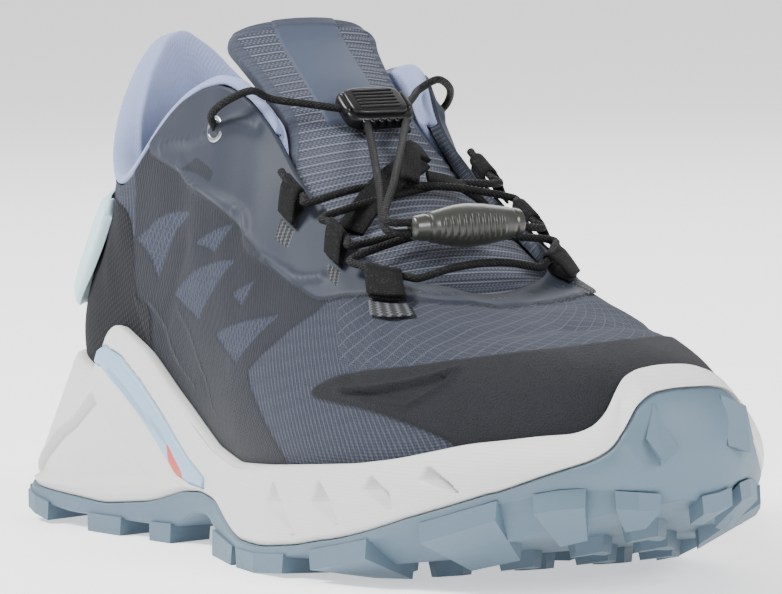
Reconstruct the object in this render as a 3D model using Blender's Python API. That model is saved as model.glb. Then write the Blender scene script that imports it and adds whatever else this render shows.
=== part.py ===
"""A trail running shoe for the right foot, standing empty on its sole.

+X points to the toe, +Y to the inner side of the foot, +Z up, in metres. The origin is on the floor,
under the middle of the shoe's box. Every form follows one loop round the shoe: station 0 is the middle
of the heel, 13 the tip of the toe and 26 the heel again, first along the outer side of the foot.
"""
import math

import bmesh
import bpy
import numpy as np
from mathutils import Vector

MM = 0.001
NAME = "Trail running shoe"

# Driving sizes of the whole shoe
LENGTH = 290 * MM
BALL_WIDTH = 104 * MM
HEEL_WIDTH = 88 * MM
COLLAR_HEIGHT = 127 * MM
HEEL_STACK = 36 * MM
FOREFOOT_STACK = 20 * MM
TOE_SPRING = 20 * MM
HEEL_BEVEL = 5 * MM

# Walls, layers and clearances
GAP = 0.3 * MM
CUP_EASE = 0.5 * MM
UPPER_WALL = 2.2 * MM
RIM_WALL = 3.0 * MM
OUTSOLE_BASE = 1.5 * MM
OUTSOLE_WRAP = 2.4 * MM
LUG_HEIGHT = 4.0 * MM
LUG_ROOT = 0.8 * MM
ARCH_LIFT = 5.0 * MM
INSOLE_THICKNESS = 4.0 * MM
INSOLE_EASE = 1.0 * MM
OVERLAY_GAP = 0.35 * MM
FILM_THICKNESS = 0.8 * MM
TOE_CAP_THICKNESS = 1.0 * MM
COLLAR_PADDING = 5.0 * MM
COLLAR_DEPTH = 30 * MM
BEAD_HEIGHT = 3.2 * MM
BAND_DEPTH = 2.4 * MM
BAND_PROUD = 0.9 * MM
PULL_TAB_THICKNESS = 2.6 * MM
TONGUE_THICKNESS = 5.0 * MM
TONGUE_EASE = 1.2 * MM
LINING_END = 7.1
LACE_DIAMETER = 2.0 * MM
WEBBING_THICKNESS = 0.9 * MM
WEBBING_WIDTH = 9.0 * MM
EYELET_RADIUS = 3.6 * MM
EYELET_HOLE = 2.2 * MM
EYELET_THICKNESS = 0.9 * MM
LOCK_LENGTH, LOCK_WIDTH, LOCK_THICKNESS = 13 * MM, 18.5 * MM, 5 * MM
GRIP_LENGTH = 31 * MM

TOE = 13
ROUND = 2 * TOE
HEEL_SHARE = 0.30
BALL_SHARE = 0.55

# The forms at each station. Plan lengths are shares of LENGTH, plan widths shares of the width there.
# foot_x, foot_y: the upper's lower edge. foot_z: 0 at the forefoot's stack height, 1 at the heel's.
# top_x, top_y, top_z: the upper's top edge, its height as a share of COLLAR_HEIGHT.
# rise, flare, drop, spread: the two handles of the wall's curve, as shares of its height.
# tread_x, tread_y: the outsole's outline. bow: how far the sole's side bulges, a share of HEEL_STACK.
COLUMNS = ("foot_x foot_y foot_z top_x top_y top_z rise flare drop spread tread_x tread_y bow").split()
HEEL_ROW = (.045, .000, 1.06, .044, .000, .975, .33, .18, .30, -.13, .000, .000, .02)
OUTER_ROWS = (
    (.062, .262, 1.00, .060, .130, .922, .33, .17, .30, -.11, .006, .310, .02),
    (.117, .360, .94, .103, .280, .790, .33, .15, .30, -.06, .038, .494, .03),
    (.188, .376, .84, .166, .360, .707, .33, .12, .33, .00, .148, .506, .03),
    (.262, .372, .72, .240, .352, .820, .33, .12, .33, .02, .245, .482, .00),
    (.328, .375, .53, .308, .328, .905, .33, .12, .33, .05, .331, .455, .00),
    (.396, .386, .31, .368, .300, .916, .33, .13, .32, .09, .407, .450, .00),
    (.476, .408, .16, .418, .250, .840, .33, .14, .28, .14, .489, .478, .02),
    (.569, .436, .06, .476, .239, .738, .32, .13, .22, .18, .579, .516, .03),
    (.676, .444, .03, .545, .230, .662, .31, .09, .18, .22, .690, .495, .04),
    (.786, .392, .12, .608, .236, .592, .31, .06, .14, .24, .806, .430, .05),
    (.882, .285, .38, .641, .192, .562, .31, .05, .11, .28, .903, .302, .08),
    (.947, .152, .63, .659, .106, .540, .33, .05, .09, .35, .966, .150, .12),
)
TOE_ROW = (.970, -.036, .75, .665, .000, .524, .335, .05, .07, .40, .986, -.036, .13)
INNER_ROWS = (
    (.062, .250, 1.00, .060, .130, .922, .33, .17, .30, -.11, .009, .270, .03),
    (.117, .330, .94, .103, .274, .795, .33, .15, .30, -.06, .040, .440, .05),
    (.188, .342, .84, .166, .350, .722, .33, .12, .33, .00, .148, .465, .03),
    (.262, .320, .72, .240, .347, .834, .33, .13, .33, .02, .245, .435, .00),
    (.328, .290, .53, .308, .326, .912, .33, .14, .33, .05, .331, .372, .00),
    (.396, .278, .31, .368, .300, .922, .33, .16, .32, .09, .407, .332, .00),
    (.476, .294, .16, .418, .240, .846, .33, .15, .26, .14, .489, .342, .02),
    (.569, .344, .06, .476, .225, .742, .30, .11, .20, .17, .579, .402, .03),
    (.676, .400, .03, .545, .223, .662, .26, .07, .18, .18, .690, .466, .04),
    (.786, .394, .12, .608, .228, .590, .25, .05, .14, .20, .806, .442, .05),
    (.884, .306, .38, .641, .190, .560, .30, .05, .11, .30, .905, .330, .08),
    (.948, .182, .63, .659, .115, .538, .34, .05, .09, .37, .966, .180, .12),
)

# Heights of the lines on the sole's side, as shares of HEEL_STACK: station counted from the heel, height.
# The inner side of the foot follows the outer one, except round the toe.
RIM_LINE = (
    (0.0, 1.27), (1.5, 1.24), (2.25, 1.15), (2.5, 1.17), (2.75, 1.34), (3.0, 1.47), (3.25, 1.50), (4.0, 1.34),
    (4.75, 1.07), (5.5, .86), (6.0, .74), (7.0, .683), (8.0, .73), (9.5, .825), (10.0, .88), (10.75, 1.00),
    (11.5, 1.07), (11.9, 1.09), (12.15, 1.17), (12.4, 1.36), (12.6, 1.43), (12.8, 1.45), (13.0, 1.46),
)
RIM_LINE_INNER_TOE = (
    (10.5, .98), (11.0, 1.06), (11.5, 1.16), (11.9, 1.28), (12.2, 1.39), (12.6, 1.45), (13.0, 1.46),
)
OUTSOLE_LINE = (
    (0.0, .62), (1.0, .60), (1.5, .27), (2.7, .235), (3.4, .21), (4.3, .27), (5.0, .375), (5.6, .40),
    (6.3, .35), (6.9, .25), (7.4, .185), (8.1, .185), (8.7, .24), (9.3, .32), (9.9, .45), (10.5, .57),
    (10.75, .68), (11.4, .83), (12.0, .95), (12.25, 1.06), (12.4, 1.21), (12.6, 1.35), (12.8, 1.38), (13.0, 1.39),
)
OUTSOLE_LINE_INNER_TOE = (
    (10.5, .62), (11.0, .72), (11.5, .83), (11.8, .95), (12.1, 1.14), (12.35, 1.32), (12.6, 1.38), (13.0, 1.39),
)
# How far the tread's edge stands above its middle, as a share of TOE_SPRING, round the whole loop
EDGE_LIFT = (
    (0.0, .00), (8.3, .00), (9.0, .20), (10.0, .36), (10.8, .42), (11.6, .34), (12.4, .12), (13.0, .00),
    (13.5, .06), (14.3, .30), (15.2, .36), (16.4, .30), (17.4, .14), (18.2, .00), (26.0, .00),
)
# The band let into the sole's side: station, lower and upper edge
BAND_LINES = (
    (2.65, 1.22, 1.30), (3.05, 1.20, 1.345), (3.5, 1.07, 1.28), (4.0, .89, 1.12), (4.5, .68, .92), (4.9, .50, .75),
    (5.3, .45, .61), (5.8, .44, .50),
)

# Notches in the sole's forefoot: station and height of the top, of the two sides and of the foot
NOTCHES = (
    (8.33, .64, 8.26, 8.52, .50, 8.68, .29), (9.08, .70, 9.00, 9.22, .55, 9.28, .40),
    (9.73, .77, 9.64, 9.89, .67, 9.92, .53), (10.35, .87, 10.26, 10.50, .77, 10.58, .69),
)
NOTCH_DEPTH = 2.2 * MM
# The three-sided hollow in the heel's side: station and height of its corners
HOLLOW = ((2.95, 1.00), (4.35, .43), (1.55, .31))
HOLLOW_DEPTH = 1.6 * MM
# Ribs on the toe bumper: station, height and stand-off, a share of BUMPER_RIB, of each corner
BUMPER_RIB = 4.0 * MM
BUMPER_RIBS = (
    ((12.66, 1.29, .1), (12.46, 1.06, .3), (12.56, .96, 1.0), (12.78, 1.04, .3), (12.60, .90, .1)),
    ((13.40, 1.31, .1), (13.62, 1.22, .9), (13.42, 1.02, .1), (13.66, .96, 1.0), (13.86, 1.00, .4)),
)

# Main lugs along the edge of the sole: first and last station, reach inwards as a share of BALL_WIDTH
OUTER_LUGS = (
    (1.15, 1.75, .12), (1.98, 2.55, .14), (3.2, 3.85, .14), (4.4, 4.85, .12), (6.25, 7.3, .07), (7.45, 8.5, .15),
    (8.85, 9.55, .16), (10.1, 10.85, .14), (11.2, 11.75, .08),
)
INNER_LUGS = (
    (1.15, 1.75, .12), (1.98, 2.60, .14), (3.2, 3.85, .13), (4.4, 4.85, .12), (6.9, 7.7, .12), (8.1, 8.9, .14),
    (9.3, 10.0, .15), (10.4, 11.0, .14),
)
TOE_LUGS = ((12.05, 12.55), (13.1, 13.75), (14.0, 14.65))
LUG_PROUD = 1.2 * MM
# Arrow-shaped lugs in the middle: place as shares of LENGTH and BALL_WIDTH, pointing to toe or heel
ARROW_SIZE = (.030, .105)
ARROW_ROWS = (
    (.070, (-.02,), -1), (.130, (-.13, .09), -1), (.200, (-.12, .08), -1), (.270, (-.02,), -1),
    (.510, (-.12, .07), 1), (.580, (-.24, -.03, .17), 1), (.650, (-.23, -.01, .20), 1),
    (.720, (-.19, .03, .24), 1), (.790, (-.11, .09, .26), 1), (.860, (-.03, .14), 1), (.915, (.03,), 1),
)

# The tongue under the throat: station, reach under the upper and crown in the gap, as shares of BALL_WIDTH
TONGUE_THROAT = (
    (11.6, .05, -.012), (11.0, .07, .020), (10.3, .08, .042), (9.5, .08, .050), (8.8, .08, .050), (8.2, .06, .050),
    (7.65, .025, .048),
)
TONGUE_FRONT = (.08, 11.6)
# The tongue above the throat: centre's place of LENGTH and height of COLLAR_HEIGHT, half width and fall of
# its edges of BALL_WIDTH
TONGUE_TOP = (
    (.414, .870, .172, .036), (.385, .922, .176, .038), (.360, .962, .182, .038), (.338, 1.000, .192, .040),
    (.324, 1.030, .202, .042), (.316, 1.046, .180, .036),
)

# Overlays on the upper: station, then the lower and the upper edge as shares of the wall's curve
TOE_CAP = (
    (8.95, .335, .36), (9.4, .33, .44), (9.85, .31, .50), (10.35, .24, .52), (10.75, .15, .53), (11.5, .0, .52),
    (12.3, .0, .52), (13.5, .0, .53), (14.85, .0, .535), (15.6, .15, .51), (16.2, .25, .46), (16.8, .33, .36),
)
EYESTAY = (
    (3.75, .955, .985), (4.0, .90, .985), (4.45, .81, .985), (5.25, .715, .985), (6.4, .68, .985),
    (7.25, .695, .985), (8.05, .685, .985), (8.7, .67, .985), (9.1, .66, .985), (9.65, .76, .985),
    (10.3, .83, .985), (11.3, .84, .985), (12.6, .90, .985), (13.0, .91, .985),
)
HEEL_TAB = (
    (0.0, .25, .58), (1.0, .25, .61), (1.45, .27, .65), (1.8, .40, .70), (2.0, .52, .74), (2.3, .78, .84),
)
HEEL_TAB_STAND = 2.4 * MM

# Laces and their loops of webbing
# Each loop's eye from the collar to the toe: station, distance past the edge as a share of WEBBING_WIDTH
LOOP_EYES = {
    "outer": ((8.13, -.33), (9.25, -.36), (10.45, -.80)),
    "inner": ((8.30, .28), (9.32, .18), (10.80, .00)),
}
LOOP_REACH = 8 * MM
LOOP_EASE = 0.8 * MM
EYELET_STATION = 5.82
EYELET_BELOW_EDGE = 11.2 * MM
LACE_HUMP = 2.6 * MM

EYE_STEPS = (1.5, 1, .5, 0, -.5, -1, -1.5)

# The lock on the tongue and the grip on the cords' ends: places along, across and above, in millimetres
LOCK_PLACE = (126.0 / 290 * LENGTH, 3.0 * MM, 111.2 / 127 * COLLAR_HEIGHT)
GRIP_PLACE = (188.0 / 290 * LENGTH, -4.0 * MM, 84.4 / 127 * COLLAR_HEIGHT)
# The grip's outline: place along it and radius in millimetres
GRIP_OUTLINE = ((0, 2.8), (2, 3.1), (3.5, 3.3), (7.5, 4.2), (12, 5.2), (15.5, 5.5), (20, 5.2), (25, 4.4),
                (29, 3.7), (31, 3.2))
# The cord from each eyelet over the bead: steps of station, distance past the edge and stand-off in millimetres
REACH_STEPS = ((0, -11.0, 3.6), (.12, -8.0, 4.6), (.4, -3.0, 5.2), (.75, 3.4, 3.6), (.95, 5.4, -1.0))
# Each tail: place across the lock's front and height at the grip's end, in millimetres
TAILS = {"outer": (-4.5, -1.3), "inner": (6.5, 1.3)}
CORNERS = [(x, y, z) for x in (-1, 1) for y in (-1, 1) for z in (-1, 1)]

COLOURS = {
    "upper": (.17, .19, .27, .75), "film": (.13, .16, .22, .45), "toe": (.035, .04, .055, .45),
    "lining": (.27, .32, .52, .85), "foam": (.80, .81, .78, .55), "rubber": (.36, .50, .63, .55),
    "tab": (.45, .62, .68, .6), "lace": (.02, .02, .022, .7), "plastic": (.012, .012, .013, .35),
    "grip": (.16, .17, .14, .35), "insole": (.10, .12, .17, .9), "metal": (.30, .31, .33, .35),
}


def clear_scene():
    """Removes every object, so that the file also runs from Blender's text editor."""
    for obj in list(bpy.data.objects):
        bpy.data.objects.remove(obj)


def material(name):
    """A Principled material in the part's plain colour."""
    red, green, blue, roughness = COLOURS[name]
    made = bpy.data.materials.get(name) or bpy.data.materials.new(name)
    made.use_nodes = True
    shader = made.node_tree.nodes["Principled BSDF"]
    shader.inputs["Base Color"].default_value = (red, green, blue, 1)
    shader.inputs["Roughness"].default_value = roughness
    shader.inputs["Metallic"].default_value = 1.0 if name == "metal" else 0.0
    return made


def smoothstep(low, high, value):
    share = np.clip((value - low) / (high - low), 0, 1)
    return share * share * (3 - 2 * share)


def local_width(share):
    """The sole's width that goes with a place along the shoe."""
    return HEEL_WIDTH + (BALL_WIDTH - HEEL_WIDTH) * smoothstep(HEEL_SHARE, BALL_SHARE, share)


def station_table():
    """One row of sizes in metres for each whole station of the loop."""
    rows = [HEEL_ROW, *OUTER_ROWS, TOE_ROW, *reversed(INNER_ROWS)]
    sides = [-1] * (TOE + 1) + [1] * (TOE - 1)
    table = {name: np.array([row[i] for row in rows]) for i, name in enumerate(COLUMNS)}
    for form in ("foot", "top", "tread"):
        table[form + "_y"] = table[form + "_y"] * local_width(table[form + "_x"]) * np.array(sides)
        table[form + "_x"] = table[form + "_x"] * LENGTH
    table["foot_z"] = FOREFOOT_STACK + (HEEL_STACK - FOREFOOT_STACK) * table["foot_z"]
    table["top_z"] = table["top_z"] * COLLAR_HEIGHT
    table["bow"] = table["bow"] * HEEL_STACK
    return table


def bend_of(values):
    """The second differences that make a closed cubic spline through the values smooth."""
    count = len(values)
    matrix = np.eye(count) * 4 + np.roll(np.eye(count), 1, 0) + np.roll(np.eye(count), -1, 0)
    return np.linalg.solve(matrix / 6, np.roll(values, -1) - 2 * values + np.roll(values, 1))


TABLE = station_table()
BENDS = {name: bend_of(values) for name, values in TABLE.items()}


def column(name, station):
    """A column of the table at any station, from the closed cubic spline through its rows."""
    station = np.asarray(station, float) % ROUND
    low = np.floor(station).astype(int) % ROUND
    high = (low + 1) % ROUND
    share = station - np.floor(station)
    rest = 1 - share
    values, bends = TABLE[name], BENDS[name]
    return (rest * values[low] + share * values[high]
            + ((rest**3 - rest) * bends[low] + (share**3 - share) * bends[high]) / 6)


def line_height(line, station, inner_toe=()):
    """The height of a line on the sole's side. The inner side may have rows of its own round the toe."""
    along = np.asarray(station, float) % ROUND
    outer = np.interp(along, *np.array(line).T)
    if inner_toe:
        line = [row for row in line if row[0] < inner_toe[0][0]] + list(inner_toe)
    inner = np.interp(ROUND - along, *np.array(line).T)
    return np.where(along > TOE, inner, outer) * HEEL_STACK


def rim_height(station):
    return line_height(RIM_LINE, station, RIM_LINE_INNER_TOE)


def outsole_height(station):
    return line_height(OUTSOLE_LINE, station, OUTSOLE_LINE_INNER_TOE)


def plan_normal(form, station):
    """The outward unit normal of an outline in plan."""
    step = 0.05
    dx = column(form + "_x", station + step) - column(form + "_x", station - step)
    dy = column(form + "_y", station + step) - column(form + "_y", station - step)
    length = np.hypot(dx, dy)
    return np.stack([dy / length, -dx / length, np.zeros_like(dx)], -1)


def upper_base(station, share):
    """The upper's outer surface: a cubic curve from its lower edge, share 0, to its top edge, share 1."""
    foot = np.stack([column("foot_" + axis, station) for axis in "xyz"], -1)
    top = np.stack([column("top_" + axis, station) for axis in "xyz"], -1)
    across = (foot - top) * (1, 1, 0)
    reach = np.linalg.norm(across, axis=-1, keepdims=True)
    size = np.linalg.norm(top - foot, axis=-1, keepdims=True)
    turn = np.clip(reach / (0.6 * size), 0, 1) * 0.6
    outward = plan_normal("top", station) * (1 - turn) + across / np.maximum(reach, 1e-9) * turn
    outward = outward / np.linalg.norm(outward, axis=-1, keepdims=True)
    up = np.array((0, 0, 1.0))

    def handle(name):
        return column(name, station)[..., None] * size

    first = foot + up * handle("rise") + plan_normal("foot", station) * handle("flare")
    second = top - up * handle("drop") + outward * handle("spread")
    along = np.clip(share, 0, 1)[..., None]
    rest = 1 - along
    curve = rest**3 * foot + 3 * rest**2 * along * first + 3 * rest * along**2 * second + along**3 * top
    beyond = np.maximum(share - 1, 0)[..., None]
    return curve + beyond * 3 * (top - second)


def upper_point(station, share, depth=0.0):
    """A point at this depth outside the upper's outer surface. A negative depth is inside it."""
    station, share, depth = np.broadcast_arrays(*(np.asarray(v, float) for v in (station, share, depth)))
    ds, dt = 0.04, 0.02
    inner = np.clip(share, dt, 1 - dt)
    along = upper_base(station + ds, inner) - upper_base(station - ds, inner)
    upward = upper_base(station, inner + dt) - upper_base(station, inner - dt)
    normal = np.cross(along, upward)
    normal = normal / np.linalg.norm(normal, axis=-1, keepdims=True)
    return upper_base(station, share) + normal * depth[..., None]


def near_top(station, distance, depth):
    """A point this far along the wall past the upper's top edge. A negative distance is below the edge."""
    station, distance, depth = np.broadcast_arrays(*(np.asarray(v, float) for v in (station, distance, depth)))
    shares = np.linspace(1, 0, 33)
    points = upper_base(station[..., None] + 0 * shares, shares + 0 * station[..., None])
    steps = np.linalg.norm(np.diff(points, axis=-2), axis=-1).reshape(-1, len(shares) - 1)
    found = []
    for away, row in zip(distance.ravel(), steps):
        below = np.concatenate([[0], np.cumsum(row)])
        found.append(np.interp(-away, below, shares) + max(away, 0) / row[0] * (shares[0] - shares[1]))
    return upper_point(station, np.array(found).reshape(station.shape), depth)


def share_at_height(station, height, depth=0.0):
    """Where the upper's wall, or a surface this far outside it, crosses a height, as a share of its curve."""
    station, height, depth = np.broadcast_arrays(*(np.asarray(v, float) for v in (station, height, depth)))
    shares = np.linspace(0, 0.72, 49)
    levels = upper_point(station[..., None], shares, depth[..., None])[..., 2]
    levels = np.maximum.accumulate(levels, -1).reshape(-1, len(shares))
    found = [np.interp(level, row, shares) for level, row in zip(height.ravel(), levels)]
    return np.array(found).reshape(station.shape)


def ground(x):
    """The height of the lugs' lower ends: flat under heel and ball, rising to toe and heel."""
    share = x / LENGTH
    toe = TOE_SPRING * np.clip((share - .69) / .30, 0, None) ** 1.57
    heel = HEEL_BEVEL * np.clip((.14 - share) / .14, 0, None) ** 1.5
    return toe + heel


def underside(x):
    """The height of the outsole's underside between the lugs."""
    share = x / LENGTH
    arch = smoothstep(.31, .37, share) * (1 - smoothstep(.39, .45, share))
    return ground(x) + LUG_HEIGHT + ARCH_LIFT * arch


def edge_lift(station):
    """How far the outsole's edge is turned up above its middle."""
    places, lifts = np.array(EDGE_LIFT).T
    return np.interp(np.asarray(station, float) % ROUND, places, lifts) * TOE_SPRING


def edge_height(station):
    """The height of the outsole's underside along its edge."""
    return underside(column("tread_x", station)) + edge_lift(station)


def side_point(station, height, inset=0.0):
    """A point on the sole's side wall, between the tread's outline and the rim round the upper.

    The wall bulges, and it keeps a rim's thickness outside the upper, and the rubber's too where that covers it.
    """
    station, height = np.broadcast_arrays(np.asarray(station, float), np.asarray(height, float))
    low_z = edge_height(station)
    rim = rim_point(station, RIM_WALL)
    share = np.clip((height - low_z) / (rim[..., 2] - low_z), 0, 1)
    out = plan_normal("tread", station)
    flat = np.stack([column("tread_x", station), column("tread_y", station), 0 * height], -1)
    plain = flat + (rim - flat) * share[..., None]
    cover = (OUTSOLE_WRAP + GAP) * (1 - smoothstep(0, 5 * MM, height - outsole_height(station)))
    cover = GAP + RIM_WALL + cover
    beside = upper_point(station, share_at_height(station, height, cover), cover)
    short = ((beside - plain) * out).sum(-1) * smoothstep(-4 * MM, 2 * MM, height - column("foot_z", station))
    bulge = np.maximum(column("bow", station) * np.sin(np.pi * share), short) - inset
    point = plain + out * bulge[..., None]
    point[..., 2] = height
    return point


def rim_point(station, thickness):
    """A point on the top of the midsole's rim, this far outside the clearance round the upper."""
    height = rim_height(station)
    return upper_point(station, share_at_height(station, height), GAP + thickness)


LADDER = np.concatenate([
    np.arange(0, 2, .5), np.arange(2, 5, .25), np.arange(5, 11, .5), np.arange(11, TOE + .01, .25)])
UPPER_LADDER = np.concatenate([np.arange(0, 11, .5), np.arange(11, TOE + .01, .25)])


def both_sides(stations):
    """Stations on the outer side and the matching ones on the inner side."""
    return stations, (ROUND - stations) % ROUND


def new_object(name, mesh, look):
    obj = bpy.data.objects.new(name, mesh)
    bpy.data.collections[NAME].objects.link(obj)
    obj.data.materials.append(material(look))
    return obj


def loft(name, sections, look, closed=False):
    """A closed solid through sections of equally many points. Ends that fold onto themselves are welded."""
    sections = np.asarray(sections, float)
    count, size = sections.shape[:2]
    rings = [[i * size + j for j in range(size)] for i in range(count)]
    pairs = list(zip(rings, rings[1:] + rings[:1])) if closed else list(zip(rings, rings[1:]))
    faces = [(a[j], a[(j + 1) % size], b[(j + 1) % size], b[j]) for a, b in pairs for j in range(size)]
    if not closed:
        faces += [tuple(reversed(rings[0])), tuple(rings[-1])]
    mesh = bpy.data.meshes.new(name)
    mesh.from_pydata(sections.reshape(-1, 3).tolist(), [], faces)
    tidy(mesh)
    return new_object(name, mesh, look)


def tidy(mesh):
    """Welds coincident points, drops faces with no area and turns every face outwards."""
    work = bmesh.new()
    work.from_mesh(mesh)
    bmesh.ops.remove_doubles(work, verts=work.verts, dist=1e-6)
    bmesh.ops.dissolve_degenerate(work, edges=work.edges, dist=1e-7)
    folded = [f for f in work.faces if len(set(f.verts)) < 3 or f.calc_area() < 1e-12]
    bmesh.ops.delete(work, geom=folded, context="FACES_ONLY")
    bmesh.ops.triangulate(work, faces=[f for f in work.faces if len(f.verts) > 3])
    bmesh.ops.recalc_face_normals(work, faces=work.faces)
    work.to_mesh(mesh)
    work.free()
    mesh.shade_smooth()
    mesh.set_sharp_from_angle(angle=math.radians(35))


def across(outer, inner, middle_z, shares):
    """Points between the outer and the inner side, without the two ends, at the middle's own height."""
    shares = np.array(shares)[None, :, None]
    points = outer[:, None] * (1 - shares) + inner[:, None] * shares
    points[..., 2] = middle_z[:, None]
    return points


def ladder_sections(outer_wall, inner_wall, low_z, high_z, low_shares=(.2, .4, .6, .8), high_shares=(.35, .65)):
    """Sections right across the shoe: the underside, the inner side's wall, the top and the outer wall."""
    outer_wall = np.stack(outer_wall, 1)
    inner_wall = np.stack(inner_wall, 1)
    low = across(outer_wall[:, 0], inner_wall[:, 0], low_z, low_shares)
    high = across(inner_wall[:, -1], outer_wall[:, -1], high_z, high_shares)
    return np.concatenate([low, inner_wall, high, outer_wall[:, ::-1]], 1)


def outsole_wall(stations):
    """The outsole's wall at each station, from its lower edge up and down again inside."""
    low = edge_height(stations)
    top = outsole_height(stations)
    floor = low + OUTSOLE_BASE
    top = np.maximum(top, floor + 1.0 * MM)
    outer = [side_point(stations, low + (top - low) * share) for share in (0, .4, .75, 1)]
    inner = [side_point(stations, floor + (top - floor) * share, OUTSOLE_WRAP) for share in (1, .55, 0)]
    return outer + inner


def midsole_wall(stations):
    """The midsole's wall: inside the outsole, out over its edge, up to the rim and down to the footbed."""
    low = edge_height(stations) + OUTSOLE_BASE + GAP
    step = np.maximum(outsole_height(stations), low + 1.0 * MM - GAP) + GAP
    rim = rim_height(stations)
    inset = OUTSOLE_WRAP + GAP
    wall = [side_point(stations, low + (step - low) * share, inset) for share in (0, .55, 1)]
    wall += [side_point(stations, step + (rim - step) * share) for share in (0, .3, .6, .85)]
    wall += [rim_point(stations, RIM_WALL * .85), rim_point(stations, 0)]
    rim_share = share_at_height(stations, rim)
    wall += [upper_point(stations, rim_share * share, GAP + CUP_EASE) for share in (.8, .6, .4, .2)]
    foot = upper_point(stations, 0 * stations, GAP)
    foot[:, 2] = column("foot_z", stations) - GAP
    return wall + [foot]


def middle_height(stations):
    """The underside's height in the middle, which is below its turned-up edge."""
    edges = [edge_height(side) for side in both_sides(stations)]
    return np.minimum(underside(column("tread_x", stations)), np.minimum(*edges))


def hull(points):
    """The closed convex solid round a few points."""
    work = bmesh.new()
    for point in points:
        work.verts.new(point)
    made = bmesh.ops.convex_hull(work, input=work.verts)
    loose = [v for v in made["geom_interior"] if isinstance(v, bmesh.types.BMVert)]
    bmesh.ops.delete(work, geom=loose, context="VERTS")
    bmesh.ops.recalc_face_normals(work, faces=work.faces)
    return work


def tool(name, bodies):
    """A hidden object that joins or cuts another. Its bodies may cross each other."""
    whole = bmesh.new()
    for body in bodies:
        mesh = bpy.data.meshes.new(name)
        body.to_mesh(mesh)
        body.free()
        whole.from_mesh(mesh)
        bpy.data.meshes.remove(mesh)
    mesh = bpy.data.meshes.new(name)
    whole.to_mesh(mesh)
    whole.free()
    obj = bpy.data.objects.new(name, mesh)
    bpy.data.collections["Cutters"].objects.link(obj)
    obj.hide_render = True
    obj.display_type = "WIRE"
    return obj


def combine(obj, other, operation):
    """Joins another object to this one, or cuts it away, with the tool's own crossings resolved."""
    change = obj.modifiers.new(operation.title(), "BOOLEAN")
    change.operation = operation
    change.solver = "EXACT"
    change.use_self = operation == "UNION"
    change.object = other


def edge_lug(first, last, reach, root=LUG_ROOT):
    """A lug along the edge: its outer face stands a little proud of the outline, its foot is narrower."""
    corners = []
    for station, inward in ((first, 0), ((first + last) / 2, 0), (last, 0), (last - .1, 1), (first + .1, 1)):
        top = side_point(station, edge_height(station), inward * reach - LUG_PROUD * .6 * (1 - inward))
        foot = side_point(station, edge_height(station), inward * reach - LUG_PROUD * (1 - inward))
        lift = edge_lift(station) * (1 - inward)
        top[2] = underside(top[0]) + lift + root
        foot[2] = ground(foot[0]) + lift
        corners += [top, foot]
    middle = np.mean(corners, 0)
    for index in range(1, len(corners), 2):
        corners[index][:2] += (middle[:2] - corners[index][:2]) * .05
    return hull(corners)


def arrow_lug(x, y, way):
    """An arrow-headed lug in the middle of the tread, pointing to the toe or the heel."""
    long, wide = ARROW_SIZE[0] * LENGTH, ARROW_SIZE[1] * BALL_WIDTH
    outline = [(.5, 0), (-.1, .5), (-.5, .5), (-.15, 0), (-.5, -.5), (-.1, -.5)]
    work = bmesh.new()
    rings = []
    for shrink, is_foot in ((1.0, False), (.86, True)):
        ring = []
        for along, side in outline:
            px, py = x + way * along * long * shrink, y + side * wide * shrink
            height = ground(px) if is_foot else underside(px) + LUG_ROOT
            ring.append(work.verts.new((px, py, height)))
        rings.append(ring)
    count = len(outline)
    for i in range(count):
        j = (i + 1) % count
        work.faces.new((rings[0][i], rings[0][j], rings[1][j], rings[1][i]))
    for ring in rings:
        for quad in ((0, 1, 2, 3), (0, 3, 4, 5)):
            work.faces.new([ring[i] for i in quad])
    bmesh.ops.triangulate(work, faces=work.faces)
    bmesh.ops.recalc_face_normals(work, faces=work.faces)
    return work


def make_outsole():
    """A cupped rubber sheet with its lugs and the ribs of its toe bumper."""
    outer, inner = both_sides(LADDER)
    low = middle_height(LADDER)
    sections = ladder_sections(outsole_wall(outer), outsole_wall(inner), low, low + OUTSOLE_BASE,
                               high_shares=(.2, .4, .6, .8))
    sheet = loft("outsole", sections, "rubber")
    lugs = [edge_lug(first, last, reach * BALL_WIDTH) for first, last, reach in OUTER_LUGS]
    lugs += [edge_lug(ROUND - last, ROUND - first, reach * BALL_WIDTH) for first, last, reach in INNER_LUGS]
    lugs += [edge_lug(first, last, .065 * BALL_WIDTH, LUG_ROOT * .6) for first, last in TOE_LUGS]
    for x, places, way in ARROW_ROWS:
        lugs += [arrow_lug(x * LENGTH, place * BALL_WIDTH, way) for place in places]
    for corners in BUMPER_RIBS:
        outside = [side_point(s, h * HEEL_STACK, -stand * BUMPER_RIB) for s, h, stand in corners]
        root = [side_point(s, h * HEEL_STACK, OUTSOLE_WRAP / 2) for s, h, _ in corners]
        lugs.append(hull(outside + root))
    combine(sheet, tool("outsole_lugs", lugs), "UNION")
    return sheet


def band_sections(stations, mirrored, depth, proud, ease):
    """Sections of the band along the sole's side. With some ease round it they shape its groove."""
    places, lows, highs = np.array(BAND_LINES).T
    low = np.interp(stations, places, lows) * HEEL_STACK - ease
    high = np.interp(stations, places, highs) * HEEL_STACK + ease
    middle = (low + high) / 2
    there = ROUND - stations if mirrored else stations
    ring = [side_point(there, z, inset) for z, inset in (
        (low, -proud), (middle, -proud * 1.5), (high, -proud), (high, depth), (middle, depth), (low, depth))]
    return np.stack(ring, 1)


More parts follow.
